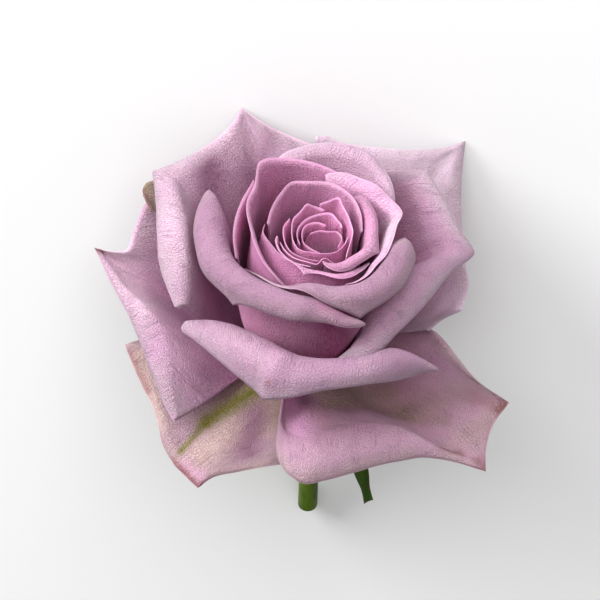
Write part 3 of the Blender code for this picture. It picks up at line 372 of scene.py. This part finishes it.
def hermite(knots, values, at):
    """Smooth curve through the values (rows) at the knots, read at other places."""
    slope = np.diff(values, axis=0) / np.diff(knots)[:, None]
    h = np.diff(knots)[:, None]
    inner = (slope[:-1] * h[1:] + slope[1:] * h[:-1]) / (h[1:] + h[:-1])
    tangent = np.vstack([slope[:1], inner, slope[-1:]])
    i = np.clip(np.searchsorted(knots, at, side="right") - 1, 0, len(knots) - 2)
    h = (knots[i + 1] - knots[i])[:, None]
    f = ((at - knots[i])[:, None]) / h
    return (values[i] * (1 + 2 * f) * (1 - f) ** 2 + tangent[i] * h * f * (1 - f) ** 2
            + values[i + 1] * f * f * (3 - 2 * f) + tangent[i + 1] * h * f * f * (f - 1))


def curve(values, at):
    """Smooth curve through evenly spaced numbers, read at positions 0..1. One number holds everywhere."""
    if np.isscalar(values):
        return np.full(len(at), float(values))
    return hermite(np.linspace(0, 1, len(values)), np.array(values, float)[:, None], at)[:, 0]


def rising(value, low, high):
    """0 below low, 1 above high and straight between them."""
    return np.clip((value - low) / (high - low), 0, 1)


def neighbours(grid, axis, wrap=False):
    """The grid moved one place either way along an axis. Its ends repeat, or join if it wraps."""
    places, mode = np.arange(grid.shape[axis]), "wrap" if wrap else "clip"
    return grid.take(places - 1, axis, mode=mode), grid.take(places + 1, axis, mode=mode)


def blurred(grid, axis, times):
    """The grid evened out along an axis."""
    for _ in range(times):
        low, high = neighbours(grid, axis)
        grid = (low + 2 * grid + high) / 4
    return grid


def widened(grid, axis, times, wrap=False):
    """The grid with its larger values spread to the places beside them along an axis."""
    for _ in range(times):
        low, high = neighbours(grid, axis, wrap)
        grid = np.maximum(grid, np.maximum(low, high))
    return grid


def between(grid, x, y, eased=False):
    """The grid read at fractional places, where it repeats beyond its sides."""
    i, j = np.floor(x).astype(int), np.floor(y).astype(int)
    f, g = x - i, y - j
    if eased:
        f, g = (t * t * t * (t * (6 * t - 15) + 10) for t in (f, g))
    i0, i1, j0, j1 = i % grid.shape[0], (i + 1) % grid.shape[0], j % grid.shape[1], (j + 1) % grid.shape[1]
    return ((grid[i0, j0] * (1 - f) + grid[i1, j0] * f) * (1 - g)
            + (grid[i0, j1] * (1 - f) + grid[i1, j1] * f) * g)


def noise(x, y, seed):
    """Smooth noise between -1 and 1 over a plane."""
    table = np.random.default_rng(seed).uniform(-1, 1, (NOISE_CELLS, NOISE_CELLS))
    return between(table, x, y, eased=True)


def lengths(points, axis):
    """Distance run along each grid line, from its first point."""
    run = np.cumsum(np.linalg.norm(np.diff(points, axis=axis), axis=2), axis=axis)
    return np.concatenate([np.zeros_like(run.take([0], axis)), run], axis=axis)


def normals(points):
    """Unit normals of a grid of points."""
    normal = np.cross(np.gradient(points, axis=0), np.gradient(points, axis=1))
    return normal / (np.linalg.norm(normal, axis=2, keepdims=True) + TINY)


# ---- lying down

def turn_down():
    """The turn that lays the flower on its back petals, bloom towards -Y."""
    pitch, roll = np.radians(LYING)
    z = np.array([np.sin(roll), -np.cos(roll) * np.cos(pitch), np.cos(roll) * np.sin(pitch)])
    y = z[2] * z - np.array([0, 0, 1])
    y /= np.linalg.norm(y)
    return np.array([np.cross(y, z), y, z])


def flower_origin():
    """Where the flower's origin comes, in mm: the hip's CAD box against the same hip turned here."""
    angles = np.arange(HIP_SIDES) * 2 * np.pi / HIP_SIDES
    hip = np.array([[r * np.cos(a), r * np.sin(a), z] for r, z in HIP for a in angles]) @ TURN.T
    return np.array(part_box("hip")[0]) * 1000 - hip.min(axis=0)


TURN = turn_down()
ORIGIN = flower_origin()


def laid(points):
    """Points of the flower's frame in the CAD's frame, in metres."""
    return (np.asarray(points) @ TURN.T + ORIGIN) / 1000


# ---- the petals' middle surfaces

def rim_knots(points):
    """Positions 0..1 of a rim's points along it, and its length."""
    way = np.concatenate([[0], np.cumsum(np.linalg.norm(np.diff(points, axis=0), axis=1))])
    return way / way[-1], way[-1]


def rim_line(points, at, corners):
    """The rim read at positions 0..1. It bends sharply at the corners."""
    points = np.array(points, float)
    knots, _ = rim_knots(points)
    cuts = [0, *corners, len(points) - 1]
    found = np.empty((len(at), 3))
    for a, b in zip(cuts, cuts[1:]):
        here = (at >= knots[a]) & (at <= knots[b])
        found[here] = hermite(knots[a:b + 1], points[a:b + 1], at[here])
    return found


def softened(points, s, corners):
    """The rim with its corners worn off: the mean of the rim over a short stretch on either side."""
    stretch = np.minimum(SOFT, np.minimum(s, 1 - s))
    steps = np.linspace(-1, 1, SOFT_STEPS)
    return np.mean([rim_line(points, s + step * stretch, corners) for step in steps], axis=0)


def rounding(s, length, ends):
    """1 along the rim, falling to 0 as a quarter circle over the two ends' widths."""
    left, right = (np.clip(d * length / max(w, TINY), 0, 1) for d, w in ((s, ends[0]), (1 - s, ends[1])))
    return np.sqrt((1 - (1 - left) ** 2) * (1 - (1 - right) ** 2))


def columns(petal, count):
    """Positions 0..1 for about count columns across a petal, one of them on each corner of its rim."""
    knots, _ = rim_knots(petal["rim"])
    cuts = [0, *knots[list(petal["corners"])], 1]
    parts = [np.linspace(a, b, max(2, round(count * (b - a))) + 1)[:-1] for a, b in zip(cuts, cuts[1:])]
    return np.concatenate(parts + [[1.0]])


def polar(points):
    """Azimuth and radius of points about the bloom's leaning axis."""
    x, y = points[..., 0] - AXIS_LEAN * points[..., 2], points[..., 1]
    return np.arctan2(y, x), np.hypot(x, y)


def around(points):
    """Azimuth of each point of a line, without jumps, and its (radius, height)."""
    azimuth, radius = polar(points)
    return np.unwrap(azimuth), np.stack([radius, points[:, 2]], axis=1)


def edge_sizes(petal, s):
    """The rolled edge along the rim: its turn, radius and lip, and how far the lip rises past the roll."""
    knots, length = rim_knots(petal["rim"])
    whole = rounding(s, length, petal["ends"])
    turn = np.maximum(np.radians(curve(petal["turn"], s)), LEAST_TURN)
    rho = np.maximum(curve(petal["rho"], s) * whole, LEAST_RHO)
    lip = np.maximum(curve(petal["lip"], s) * whole, LEAST_LIP)
    lip_rise = lip * np.maximum(np.cos(turn), 0)
    for place, height, width in petal["tips"]:
        at = np.interp(place, range(len(knots)), knots)
        lip = lip + height * np.exp(-np.abs(s - at) * length / width)
    return turn, rho, lip, lip_rise


def blade_profile(petal, s, start, up, q):
    """(radius, height) of the blade: a cubic curve from the petal's foot to the start of its roll."""
    foot = np.radians(curve(petal["foot"], s))
    base = np.array(petal["base"], float)
    span = np.linalg.norm(start - base, axis=1)[:, None]
    first = base + petal["belly"][0] * span * np.stack([np.sin(foot), np.cos(foot)], axis=1)
    last = start - petal["belly"][1] * span * up
    q = q[:, None]
    return (base * (1 - q) ** 3 + 3 * first[:, None] * q * (1 - q) ** 2
            + 3 * last[:, None] * q * q * (1 - q) + start[:, None] * q ** 3)


def edge_profile(start, up, out, turn, rho, lip, roll_rows, lip_rows):
    """(radius, height) of the rolled edge: an arc that goes on from the blade, and the straight lip."""
    phi = turn[:, None] * np.linspace(0, 1, roll_rows + 1)[None, 1:]
    arc = (start[:, None] + (rho[:, None] * np.sin(phi))[..., None] * up[:, None]
           + (rho[:, None] * (1 - np.cos(phi)))[..., None] * out[:, None])
    way = np.cos(turn)[:, None] * up + np.sin(turn)[:, None] * out
    share = np.linspace(0, 1, lip_rows + 1)[1:]
    tail = arc[:, -1:] + (lip[:, None] * share)[..., None] * way[:, None]
    return np.concatenate([arc, tail], axis=1)


def coarse_places(rows):
    """Where the rows of a grid lie among the rows of the coarse grid."""
    return np.interp(range(sum(rows) + 1), np.cumsum([0, *rows]), np.cumsum([0, *COARSE_ROWS]))


def surface(petal, s, rows, push=None):
    """Points [column, row, 3] of the petal's middle surface, in mm in the flower's frame.

    s has the columns' positions 0..1 along the rim. rows counts the steps up the blade, round the roll and
    along the lip. push says how far the points of the coarse grid move outwards.
    """
    azimuth, crest = around(rim_line(petal["rim"], s, petal["corners"]))
    soft_azimuth, soft_crest = around(softened(petal["rim"], s, petal["corners"]))
    soft_azimuth += 2 * np.pi * np.round((azimuth.mean() - soft_azimuth.mean()) / (2 * np.pi))
    turn, rho, lip, lip_rise = edge_sizes(petal, s)
    lean = np.radians(curve(petal["lean"], s))
    up = np.stack([np.sin(lean), np.cos(lean)], axis=1)
    out = np.stack([np.cos(lean), -np.sin(lean)], axis=1)
    top = np.minimum(turn, np.pi / 2)
    start = crest - (rho * np.sin(top) + lip_rise)[:, None] * up - (rho * (1 - np.cos(top)))[:, None] * out

    q = np.linspace(0, 1, rows[0] + 1)
    blade = blade_profile(petal, s, start, up, q)
    blade += (soft_crest - crest)[:, None] * ((1 - q ** FADE) * q)[:, None]
    edge = edge_profile(start, up, out, turn, rho, lip, *rows[1:])
    radius, height = np.moveaxis(np.concatenate([blade, edge], axis=1), 2, 0)
    if push is not None:
        radius = radius + between(push, s[:, None] * COARSE_COLUMNS, coarse_places(rows))

    middle = (soft_azimuth.min() + soft_azimuth.max()) / 2
    root = (middle + (soft_azimuth - middle) * petal["pinch"])[:, None]
    spread = soft_azimuth[:, None] + (azimuth - soft_azimuth)[:, None] * q ** FADE
    fan = root + (spread - root) * (q * (2 - q))
    angle = np.concatenate([fan, np.repeat(azimuth[:, None], sum(rows[1:]), axis=1)], axis=1)
    return np.stack([radius * np.cos(angle) + AXIS_LEAN * height, radius * np.sin(angle), height], axis=2)


# ---- keeping the petals apart

def map_places(points):
    """Where points lie on the map of room, by azimuth and by height."""
    azimuth, _ = polar(points)
    return np.degrees(azimuth) / AZ_STEP, np.clip((points[..., 2] - Z_LOW) / Z_STEP, 0, Z_CELLS - 1)


def moved_out(petal, room):
    """How far each point of a petal's coarse grid moves out, smoothly, to clear the room taken."""
    blade_rows = COARSE_ROWS[0]
    points = surface(petal, np.linspace(0, 1, COARSE_COLUMNS + 1), COARSE_ROWS)
    step = np.gradient(points, axis=1)
    rise = np.abs(step[..., 2]) / (np.linalg.norm(step, axis=2) + TINY)
    taken = between(room, *map_places(points))
    need = taken + GAP / np.maximum(rise, LEAST_RISE) - polar(points)[1]
    need[taken == 0] = 0
    need[:, blade_rows + ROLL_CLEARED + 1:] = 0
    need = np.clip(need, 0, None) * (not petal["free"])
    push = widened(widened(need, 0, SPREAD_TIMES[0]), 1, SPREAD_TIMES[1])
    push = blurred(blurred(push, 0, BLUR_TIMES[0]), 1, BLUR_TIMES[1])
    push[:, blade_rows + 1:] = push[:, blade_rows:blade_rows + 1]
    return push


def room_of(petal, push):
    """The map of the room that one petal takes."""
    points = surface(petal, np.linspace(0, 1, DENSE_COLUMNS + 1), DENSE_ROWS, push)
    blade_rows, roll_rows, lip_rows = DENSE_ROWS
    last = blade_rows + 1 + (roll_rows // 2 if petal["drape"] else roll_rows + lip_rows)
    points = points[:, :last]
    i, j = (np.round(places).astype(int) for places in map_places(points))
    room = np.zeros((AZ_CELLS, Z_CELLS))
    np.maximum.at(room, (i % AZ_CELLS, j), polar(points)[1])
    return widened(room, 0, 1, wrap=True)


def settle(petals):
    """Goes from the heart outwards and finds how far each petal moves out to clear those before it."""
    room = np.zeros((AZ_CELLS, Z_CELLS))
    pushes = {}
    for name, petal in petals.items():
        pushes[name] = moved_out(petal, room)
        room = np.maximum(room, room_of(petal, pushes[name]))
    return pushes


# ---- sheets

def quad(*corners):
    """Faces from four grids of their corners."""
    return np.stack([np.ravel(c) for c in corners], axis=1)


def sheet_faces(rows, cols):
    """Faces of a closed sheet, whose vertices are a grid of its front and then the same grid of its back."""
    front = np.arange(rows * cols).reshape(rows, cols)
    back = front + rows * cols
    (a, b, c, d), (e, f, g, h) = ((side[:-1, :-1], side[1:, :-1], side[1:, 1:], side[:-1, 1:])
                                  for side in (front, back))
    return np.concatenate([
        quad(a, b, c, d), quad(e, h, g, f),
        quad(front[:-1, 0], back[:-1, 0], back[1:, 0], front[1:, 0]),
        quad(front[:-1, -1], front[1:, -1], back[1:, -1], back[:-1, -1]),
        quad(front[0, :-1], front[0, 1:], back[0, 1:], back[0, :-1]),
        quad(front[-1, :-1], back[-1, :-1], back[-1, 1:], front[-1, 1:])])


def sheet_mesh(name, points, thick, coords, edge):
    """A closed thin sheet round a grid of points. coords is its UV grid, edge the distance from its edge."""
    thinning = THIN_SHARE + (1 - THIN_SHARE) * rising(edge, 0, THIN_WIDTH)
    offset = normals(points) * (thick / 2 * thinning)[..., None]
    vertices = laid(np.concatenate([(points + offset).reshape(-1, 3), (points - offset).reshape(-1, 3)]))
    faces = sheet_faces(*points.shape[:2])
    mesh = bpy.data.meshes.new(name)
    mesh.from_pydata(vertices.tolist(), [], faces.tolist())
    flat_uv = np.concatenate([coords.reshape(-1, 2)] * 2)
    layer = mesh.uv_layers.new(name="UVMap")
    layer.data.foreach_set("uv", flat_uv[faces.ravel()].astype(np.float32).ravel())
    mesh.shade_smooth()
    mesh.update()
    return mesh


def store(mesh, name, front, back):
    """Keeps four numbers for each vertex of a sheet, for its material to read."""
    values = np.concatenate([front.reshape(-1, 4), back.reshape(-1, 4)])
    attribute = mesh.color_attributes.new(name, "FLOAT_COLOR", "POINT")
    attribute.data.foreach_set("color", values.astype(np.float32).ravel())


def inner_first(points, blade_rows):
    """The grid turned over, if need be, so that its front is the petal's upper side, towards the heart."""
    blade, normal = points[:, :blade_rows], normals(points)[:, :blade_rows]
    inward = -blade * (1, 1, 0) / np.linalg.norm(blade[..., :2], axis=2, keepdims=True) + (0, 0, 1)
    return points if (normal * inward).sum() > 0 else points[::-1]


def stroke(points, ends, width):
    """1 along a stroke between two ends (x, y) seen along the axis, falling off over its half width."""
    a, b = np.array(ends, float)
    flat = points[..., :2] - a
    share = np.clip(flat @ (b - a) / ((b - a) @ (b - a)), 0, 1)
    distance = np.linalg.norm(flat - share[..., None] * (b - a), axis=2)
    return np.exp(-(distance / width) ** 2)


def tinted(name, points):
    """The petal's strokes laid over one another, painted light and shade among them: a grid of colours with
    their cover, and how dry it is.
    """
    colour, cover = np.zeros(points.shape), np.zeros(points.shape[:2] + (1,))
    dry = np.zeros(points.shape[:2])
    for tint, *ends, width, strength in MARKS_AND_PAINTED_LIGHT.get(name, ()):
        share = (stroke(points, ends, width) * strength)[..., None]
        colour = colour * (1 - share) + np.array(TINTS[tint]) * share
        cover = cover * (1 - share) + share
        if tint == "dry":
            dry = np.maximum(dry, share[..., 0])
    return np.concatenate([colour / np.maximum(cover, TINY), cover], axis=2), dry


def smoothed(points, edge):
    """The blade with its folds below the rim's corners worn soft, the more so away from its edge."""
    soft = points
    for _ in range(SMOOTH_TIMES):
        soft = np.concatenate([soft[:1], (soft[:-2] + 2 * soft[1:-1] + soft[2:]) / 4, soft[-1:]])
    share = rising(edge, SMOOTH_FROM, SMOOTH_FULL)[..., None]
    return points * (1 - share) + soft * share


def relief(name, points, across, along, dry, seed):
    """Height of a petal's waves and creases at each point of its grid."""
    size = WAVES.get(name, WAVE)
    height = noise(across / LONG_WAVE[0], along / LONG_WAVE[1], seed) * size
    height += noise(across / SHORT_WAVE[0], along / SHORT_WAVE[1], seed + 1) * size * SHORT_SHARE
    height += noise(across / DRY_WAVE[0], along / DRY_WAVE[1], seed + 2) * dry * DRY_HEIGHT
    for *ends, width, crease in CREASES.get(name, ()):
        height += stroke(points, ends, width) * crease
    return height


def petal_mesh(name, petal, push, seed):
    """The finished sheet of one petal, with what its material reads of it."""
    rows = SMALL_ROWS if name in SMALL_COLUMNS else ROWS
    points = surface(petal, columns(petal, SMALL_COLUMNS.get(name, COLUMNS)), rows, push)
    points = inner_first(points, rows[0])
    along, across = lengths(points, 1), lengths(points, 0)
    share_up = along / along[:, -1:]
    side = np.minimum(across, lengths(points[::-1], 0)[::-1])
    edge = np.minimum(along[:, -1:] - along, side)
    across = across - across.mean(axis=0)
    marks_and_painted_light, dry = tinted(name, points)
    above_floor = rising(laid(points)[..., 2] * 1000, 0, FLOOR_CLEAR)
    points = smoothed(points, edge)
    height = relief(name, points, across, along, dry, seed)
    height = height * (rising(share_up, RELIEF_FROM, RELIEF_FULL) * above_floor)
    points = points + normals(points) * height[..., None]
    coords = np.stack([across, along], axis=2) / UV_MM + seed * UV_SHIFT
    mesh = sheet_mesh("petal_" + name, points, PETAL_THICK, coords, edge)
    ones = np.ones_like(edge)
    store(mesh, "where", *(np.stack([edge, share_up, ones * back, ones], axis=2) for back in (0, 1)))
    store(mesh, "marks_and_painted_light", marks_and_painted_light, marks_and_painted_light)
    return mesh


def sepal_mesh(name):
    """The finished sheet of one sepal: down and out from the top of the hip, dished across."""
    azimuth, *tip, bow = SEPALS[name]
    a = np.radians(azimuth)
    out, side = np.array([np.cos(a), np.sin(a), 0.0]), np.array([-np.sin(a), np.cos(a), 0.0])
    base = out * SEPAL_RADIUS + (0, 0, SEPAL_HEIGHT)
    t, w = np.linspace(0, 1, SEPAL_GRID[0] + 1), np.linspace(-1, 1, SEPAL_GRID[1] + 1)
    middle = base + (np.array(tip) - base) * t[:, None] + out * bow * np.sin(np.pi * t[:, None])
    half = curve(SEPAL_HALF, t)[:, None]
    points = middle[:, None] + side * (half * w)[..., None] + out * SEPAL_DISH * (w ** 2 * half)[..., None]
    along, across = lengths(points, 0), lengths(points, 1)
    edge = np.minimum(across, across[:, -1:] - across)
    coords = np.stack([across, along], axis=2) / UV_MM
    return sheet_mesh("sepal_" + name, points, SEPAL_THICK, coords, edge)


# ---- materials

class Nodes:
    """Short ways to add shader nodes to one material."""

    def __init__(self, name):
        self.material = bpy.data.materials.new(name)
        self.material.use_nodes = True
        self.tree = self.material.node_tree
        self.shader = self.tree.nodes["Principled BSDF"]

    def add(self, kind, inputs=None, **settings):
        """A node with its settings and inputs."""
        node = self.tree.nodes.new(kind)
        for key, value in settings.items():
            setattr(node, key, value)
        self.feed(node, inputs or {})
        return node

    def feed(self, node, inputs):
        """Links a node's inputs to other sockets, or gives them plain values. Colours are made opaque."""
        for key, value in inputs.items():
            socket = node.inputs[key]
            if isinstance(value, bpy.types.NodeSocket):
                self.tree.links.new(value, socket)
            else:
                socket.default_value = (*value, 1) if socket.type == "RGBA" else value

    def math(self, operation, a, b=0.0, clamp=False):
        return self.add("ShaderNodeMath", {0: a, 1: b}, operation=operation, use_clamp=clamp).outputs[0]

    def plus(self, a, b):
        return self.math("ADD", a, b)

    def minus(self, a, b):
        return self.math("SUBTRACT", a, b)

    def times(self, a, b, clamp=False):
        return self.math("MULTIPLY", a, b, clamp)

    def swing(self, pattern, share):
        """A pattern of 0 to 1 as a change to either side of 0."""
        return self.times(self.minus(pattern, 0.5), share)

    def ramp(self, value, low, high):
        """0 at low to 1 at high, smoothly."""
        node = self.add("ShaderNodeMapRange", {0: value, 1: low, 2: high}, interpolation_type="SMOOTHSTEP")
        return node.outputs[0]

    def thin(self, value, width):
        """1 on the thin lines where value crosses a half, falling to 0 beside them."""
        return self.ramp(self.math("ABSOLUTE", self.minus(value, 0.5)), width, 0.0)

    def mix(self, share, a, b, blend="MIX"):
        node = self.add("ShaderNodeMix", data_type="RGBA", blend_type=blend)
        self.feed(node, {0: share, 6: a, 7: b})
        return node.outputs[2]

    def stretched(self, vector, stretch):
        return self.add("ShaderNodeMapping", {"Vector": vector, "Scale": stretch}).outputs[0]

    def noise(self, vector, scale, detail=3.0, rough=0.5):
        node = self.add("ShaderNodeTexNoise", {"Vector": vector, "Scale": scale, "Detail": detail,
                                               "Roughness": rough})
        return node.outputs[0]

    def cells(self, vector, scale):
        """Distance from the borders between cells, 0 on a border."""
        node = self.add("ShaderNodeTexVoronoi", {"Vector": vector, "Scale": scale}, voronoi_dimensions="2D",
                        feature="DISTANCE_TO_EDGE")
        return node.outputs["Distance"]

    def bump(self, height, strength, distance):
        """A relief of that height on the surface. distance is in metres."""
        node = self.add("ShaderNodeBump", {"Strength": strength, "Distance": distance, "Height": height})
        self.feed(self.shader, {"Normal": node.outputs[0]})


def petal_patterns(n):
    """Patterns of a petal, 0 to 1: long veins from foot to rim, crinkled cells like soft leather's, grain."""
    uv = n.add("ShaderNodeUVMap", uv_map="UVMap").outputs[0]
    sway = n.swing(n.noise(uv, scale=12.0, detail=2.0), 0.025)
    shift = n.add("ShaderNodeCombineXYZ", {0: sway}).outputs[0]
    bent = n.add("ShaderNodeVectorMath", {0: uv, 1: shift}, operation="ADD").outputs[0]
    streak = n.noise(n.stretched(bent, (6.0, 0.35, 1.0)), scale=15.0, detail=1.0)
    broken = n.ramp(n.noise(uv, scale=20.0), 0.4, 0.65)
    net = n.noise(n.stretched(bent, (1.6, 0.8, 1.0)), scale=90.0, detail=2.0, rough=0.55)
    border = n.cells(n.stretched(bent, (1.4, 0.9, 1.0)), scale=95.0)
    return {"cloud": n.noise(uv, scale=9.0, detail=2.0),
            "patch": n.noise(uv, scale=60.0, rough=0.6),
            "streak": streak,
            "veins": n.times(n.thin(streak, 0.035), broken),
            "net": net,
            "cells": n.ramp(border, 0.0, 0.3),
            "cracks": n.times(n.ramp(border, 0.07, 0.0), n.ramp(net, 0.3, 0.6)),
            "grain": n.noise(uv, scale=280.0, detail=2.0, rough=0.6),
            "specks": n.ramp(n.noise(uv, scale=130.0, detail=1.0), 0.78, 0.83)}


def petal_colour(n, pattern, look, edge, up, back):
    """Colour of a petal before its fine shading: two sides, rim, clouds, a darker lower part that is partly
    painted shade, foot, the strokes laid on it, which include painted light and shade, and specks.
    """
    colour = n.mix(back, look["face"], look["back"])
    rim = n.times(n.ramp(edge, look["rim_mm"], 0.0), n.ramp(pattern["cloud"], 0.15, 0.6))
    colour = n.mix(rim, colour, look["rim"])
    colour = n.mix(n.times(n.ramp(pattern["cloud"], 0.42, 0.72), look["cream"]), colour, CREAM)
    rise = n.plus(up, n.swing(pattern["streak"], 0.2))
    # Lower down the colour goes to deep_shade: partly the petal's own deeper colour, partly painted shade
    # down in the bloom. The foot takes base, which on the inner and guard petals is partly painted shade.
    colour = n.mix(n.ramp(rise, 0.85, 0.3), colour, look["deep_shade"])
    colour = n.mix(n.ramp(rise, look["base_to"], 0.0), colour, look["base"])
    marks_and_painted_light = n.add("ShaderNodeAttribute", attribute_name="marks_and_painted_light")
    # The strokes laid on the petal, painted light and shade among them, with their cover.
    cover = n.times(marks_and_painted_light.outputs["Alpha"], n.plus(1.0, n.swing(pattern["patch"], 1.2)), clamp=True)
    colour = n.mix(cover, colour, marks_and_painted_light.outputs["Color"])
    return n.mix(n.times(pattern["specks"], 0.4), colour, SPECK)


def petal_material(name, look):
    """A velvety petal. Shading takes more green out of it, and both it and the relief end at the edge."""
    n = Nodes(name)
    where = n.add("ShaderNodeAttribute", attribute_name="where")
    edge, up, back = n.add("ShaderNodeSeparateColor", {0: where.outputs["Color"]}).outputs
    pattern = petal_patterns(n)
    inside = n.ramp(edge, 0.0, 0.9)
    dark = n.plus(n.times(pattern["veins"], 0.16), n.times(pattern["cracks"], 0.13))
    light = n.plus(n.swing(pattern["grain"], 1.2), n.swing(pattern["patch"], 0.12))
    shade = n.plus(1.06, n.times(n.minus(light, dark), inside))
    tone = n.add("ShaderNodeCombineColor", {0: shade, 1: n.math("POWER", shade, 1.4), 2: shade}).outputs[0]
    colour = n.mix(1.0, petal_colour(n, pattern, look, edge, up, back), tone, "MULTIPLY")
    height = 0.0
    for key, share in PETAL_RELIEF.items():
        height = n.plus(height, n.times(pattern[key], share))
    n.bump(n.times(height, inside), strength=1.0, distance=0.0004)
    n.feed(n.shader, {"Base Color": colour, **PETAL_SURFACE})
    return n.material


def green_material(name, light, dark):
    """A smooth green skin with fine streaks lengthwise and a few reddish specks."""
    n = Nodes(name)
    spot = n.add("ShaderNodeTexCoord").outputs["Object"]
    streak = n.noise(n.stretched(spot, (1.0, 0.12, 0.5)), scale=260.0, detail=4.0, rough=0.6)
    speck = n.times(n.ramp(n.noise(spot, scale=900.0), 0.56, 0.72), 0.5)
    colour = n.mix(n.ramp(streak, 0.3, 0.7), dark, light)
    n.bump(streak, strength=0.4, distance=0.0003)
    n.feed(n.shader, {"Base Color": n.mix(speck, colour, GREEN_SPECK), **GREEN_SURFACE})
    return n.material


# ---- pieces

def new_object(name, data):
    """A new object in the scene."""
    obj = bpy.data.objects.new(name, data)
    bpy.context.collection.objects.link(obj)
    return obj


def add_piece(mesh, material, node):
    """A piece of the visual model in place of the CAD's solid of that node."""
    mesh.materials.append(material)
    obj = new_object(mesh.name + "_look", mesh)
    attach(obj, "root")
    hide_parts(node)


def slot_of(name):
    """The slot of a petal, from how its name starts."""
    return next(slot for slot, starts in SLOTS.items() if name.startswith(starts))


def add_petals():
    """All petals, each with a material of its own."""
    petals = {name: {**COMMON, **own} for name, own in PETALS.items()}
    pushes = settle(petals)
    for seed, (name, petal) in enumerate(petals.items(), start=1):
        slot = slot_of(name)
        look = {**COMMON_LOOK, **LOOKS[slot], **OWN_LOOKS.get(name, {})}
        material = petal_material("petal_" + name, look)
        add_piece(petal_mesh(name, petal, pushes[name], seed), material, "petal_" + name)


def add_green():
    """The sepals, and the skins of the CAD's own hip and stem."""
    sepal_green = green_material("sepal_green", *GREENS["sepal"])
    for name in SEPALS:
        add_piece(sepal_mesh(name), sepal_green, "sepal_" + name)
    for node in ("hip", "stem"):
        material = green_material(node + "_green", *GREENS[node])
        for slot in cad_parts[node].material_slots:
            slot.material = material


# ---- the setting

def view_axes():
    """The viewer's right and up, and the line of sight back to the viewer, in the CAD's frame."""
    e = np.radians(VIEW_ELEVATION)
    return [TURN @ way for way in ((1, 0, 0), (0, np.sin(e), np.cos(e)), (0, -np.cos(e), np.sin(e)))]


def add_floor():
    """A pale floor that isn't part of the rose."""
    bpy.ops.mesh.primitive_plane_add(size=FLOOR_SIZE, location=(0, 0, 0))
    floor = bpy.context.object
    floor.name = "floor"
    n = Nodes("floor")
    n.feed(n.shader, {"Base Color": FLOOR_COLOUR, "Roughness": FLOOR_ROUGHNESS})
    floor.data.materials.append(n.material)


def add_light(name, shares, size, power):
    """A square light, turned to the flower from a way given in shares of the viewer's axes."""
    light = bpy.data.lights.new(name, "AREA")
    light.size, light.energy = size, power
    obj = new_object(name, light)
    way = Vector(np.array(shares) @ view_axes()).normalized()
    obj.location = way * LIGHT_DISTANCE + Vector(LIGHT_TARGET)
    obj.rotation_euler = way.to_track_quat("Z", "Y").to_euler()


def add_camera():
    """Looks into the bloom along the flower's own line of sight."""
    camera = bpy.data.cameras.new("camera")
    camera.sensor_width = SENSOR
    camera.lens = SENSOR * VIEW_DISTANCE / VIEW_WIDTH
    camera.clip_end = CLIP_END
    obj = new_object("camera", camera)
    axes = view_axes()
    place = Vector(laid(VIEW_CENTRE)) + Vector(axes[2]) * VIEW_DISTANCE / 1000
    obj.matrix_world = Matrix.Translation(place) @ Matrix(axes).transposed().to_4x4()
    bpy.context.scene.camera = obj


def add_setting():
    """Floor, lights, white surroundings and plain colours."""
    add_floor()
    for name, light in LIGHTS.items():
        add_light(name, *light)
    world = bpy.data.worlds.new("world")
    bpy.context.scene.world = world
    world.use_nodes = True
    background = world.node_tree.nodes["Background"]
    background.inputs["Color"].default_value = WHITE
    background.inputs["Strength"].default_value = WORLD_STRENGTH
    bpy.context.scene.view_settings.view_transform = "Standard"


add_petals()
add_green()
add_setting()
add_camera()
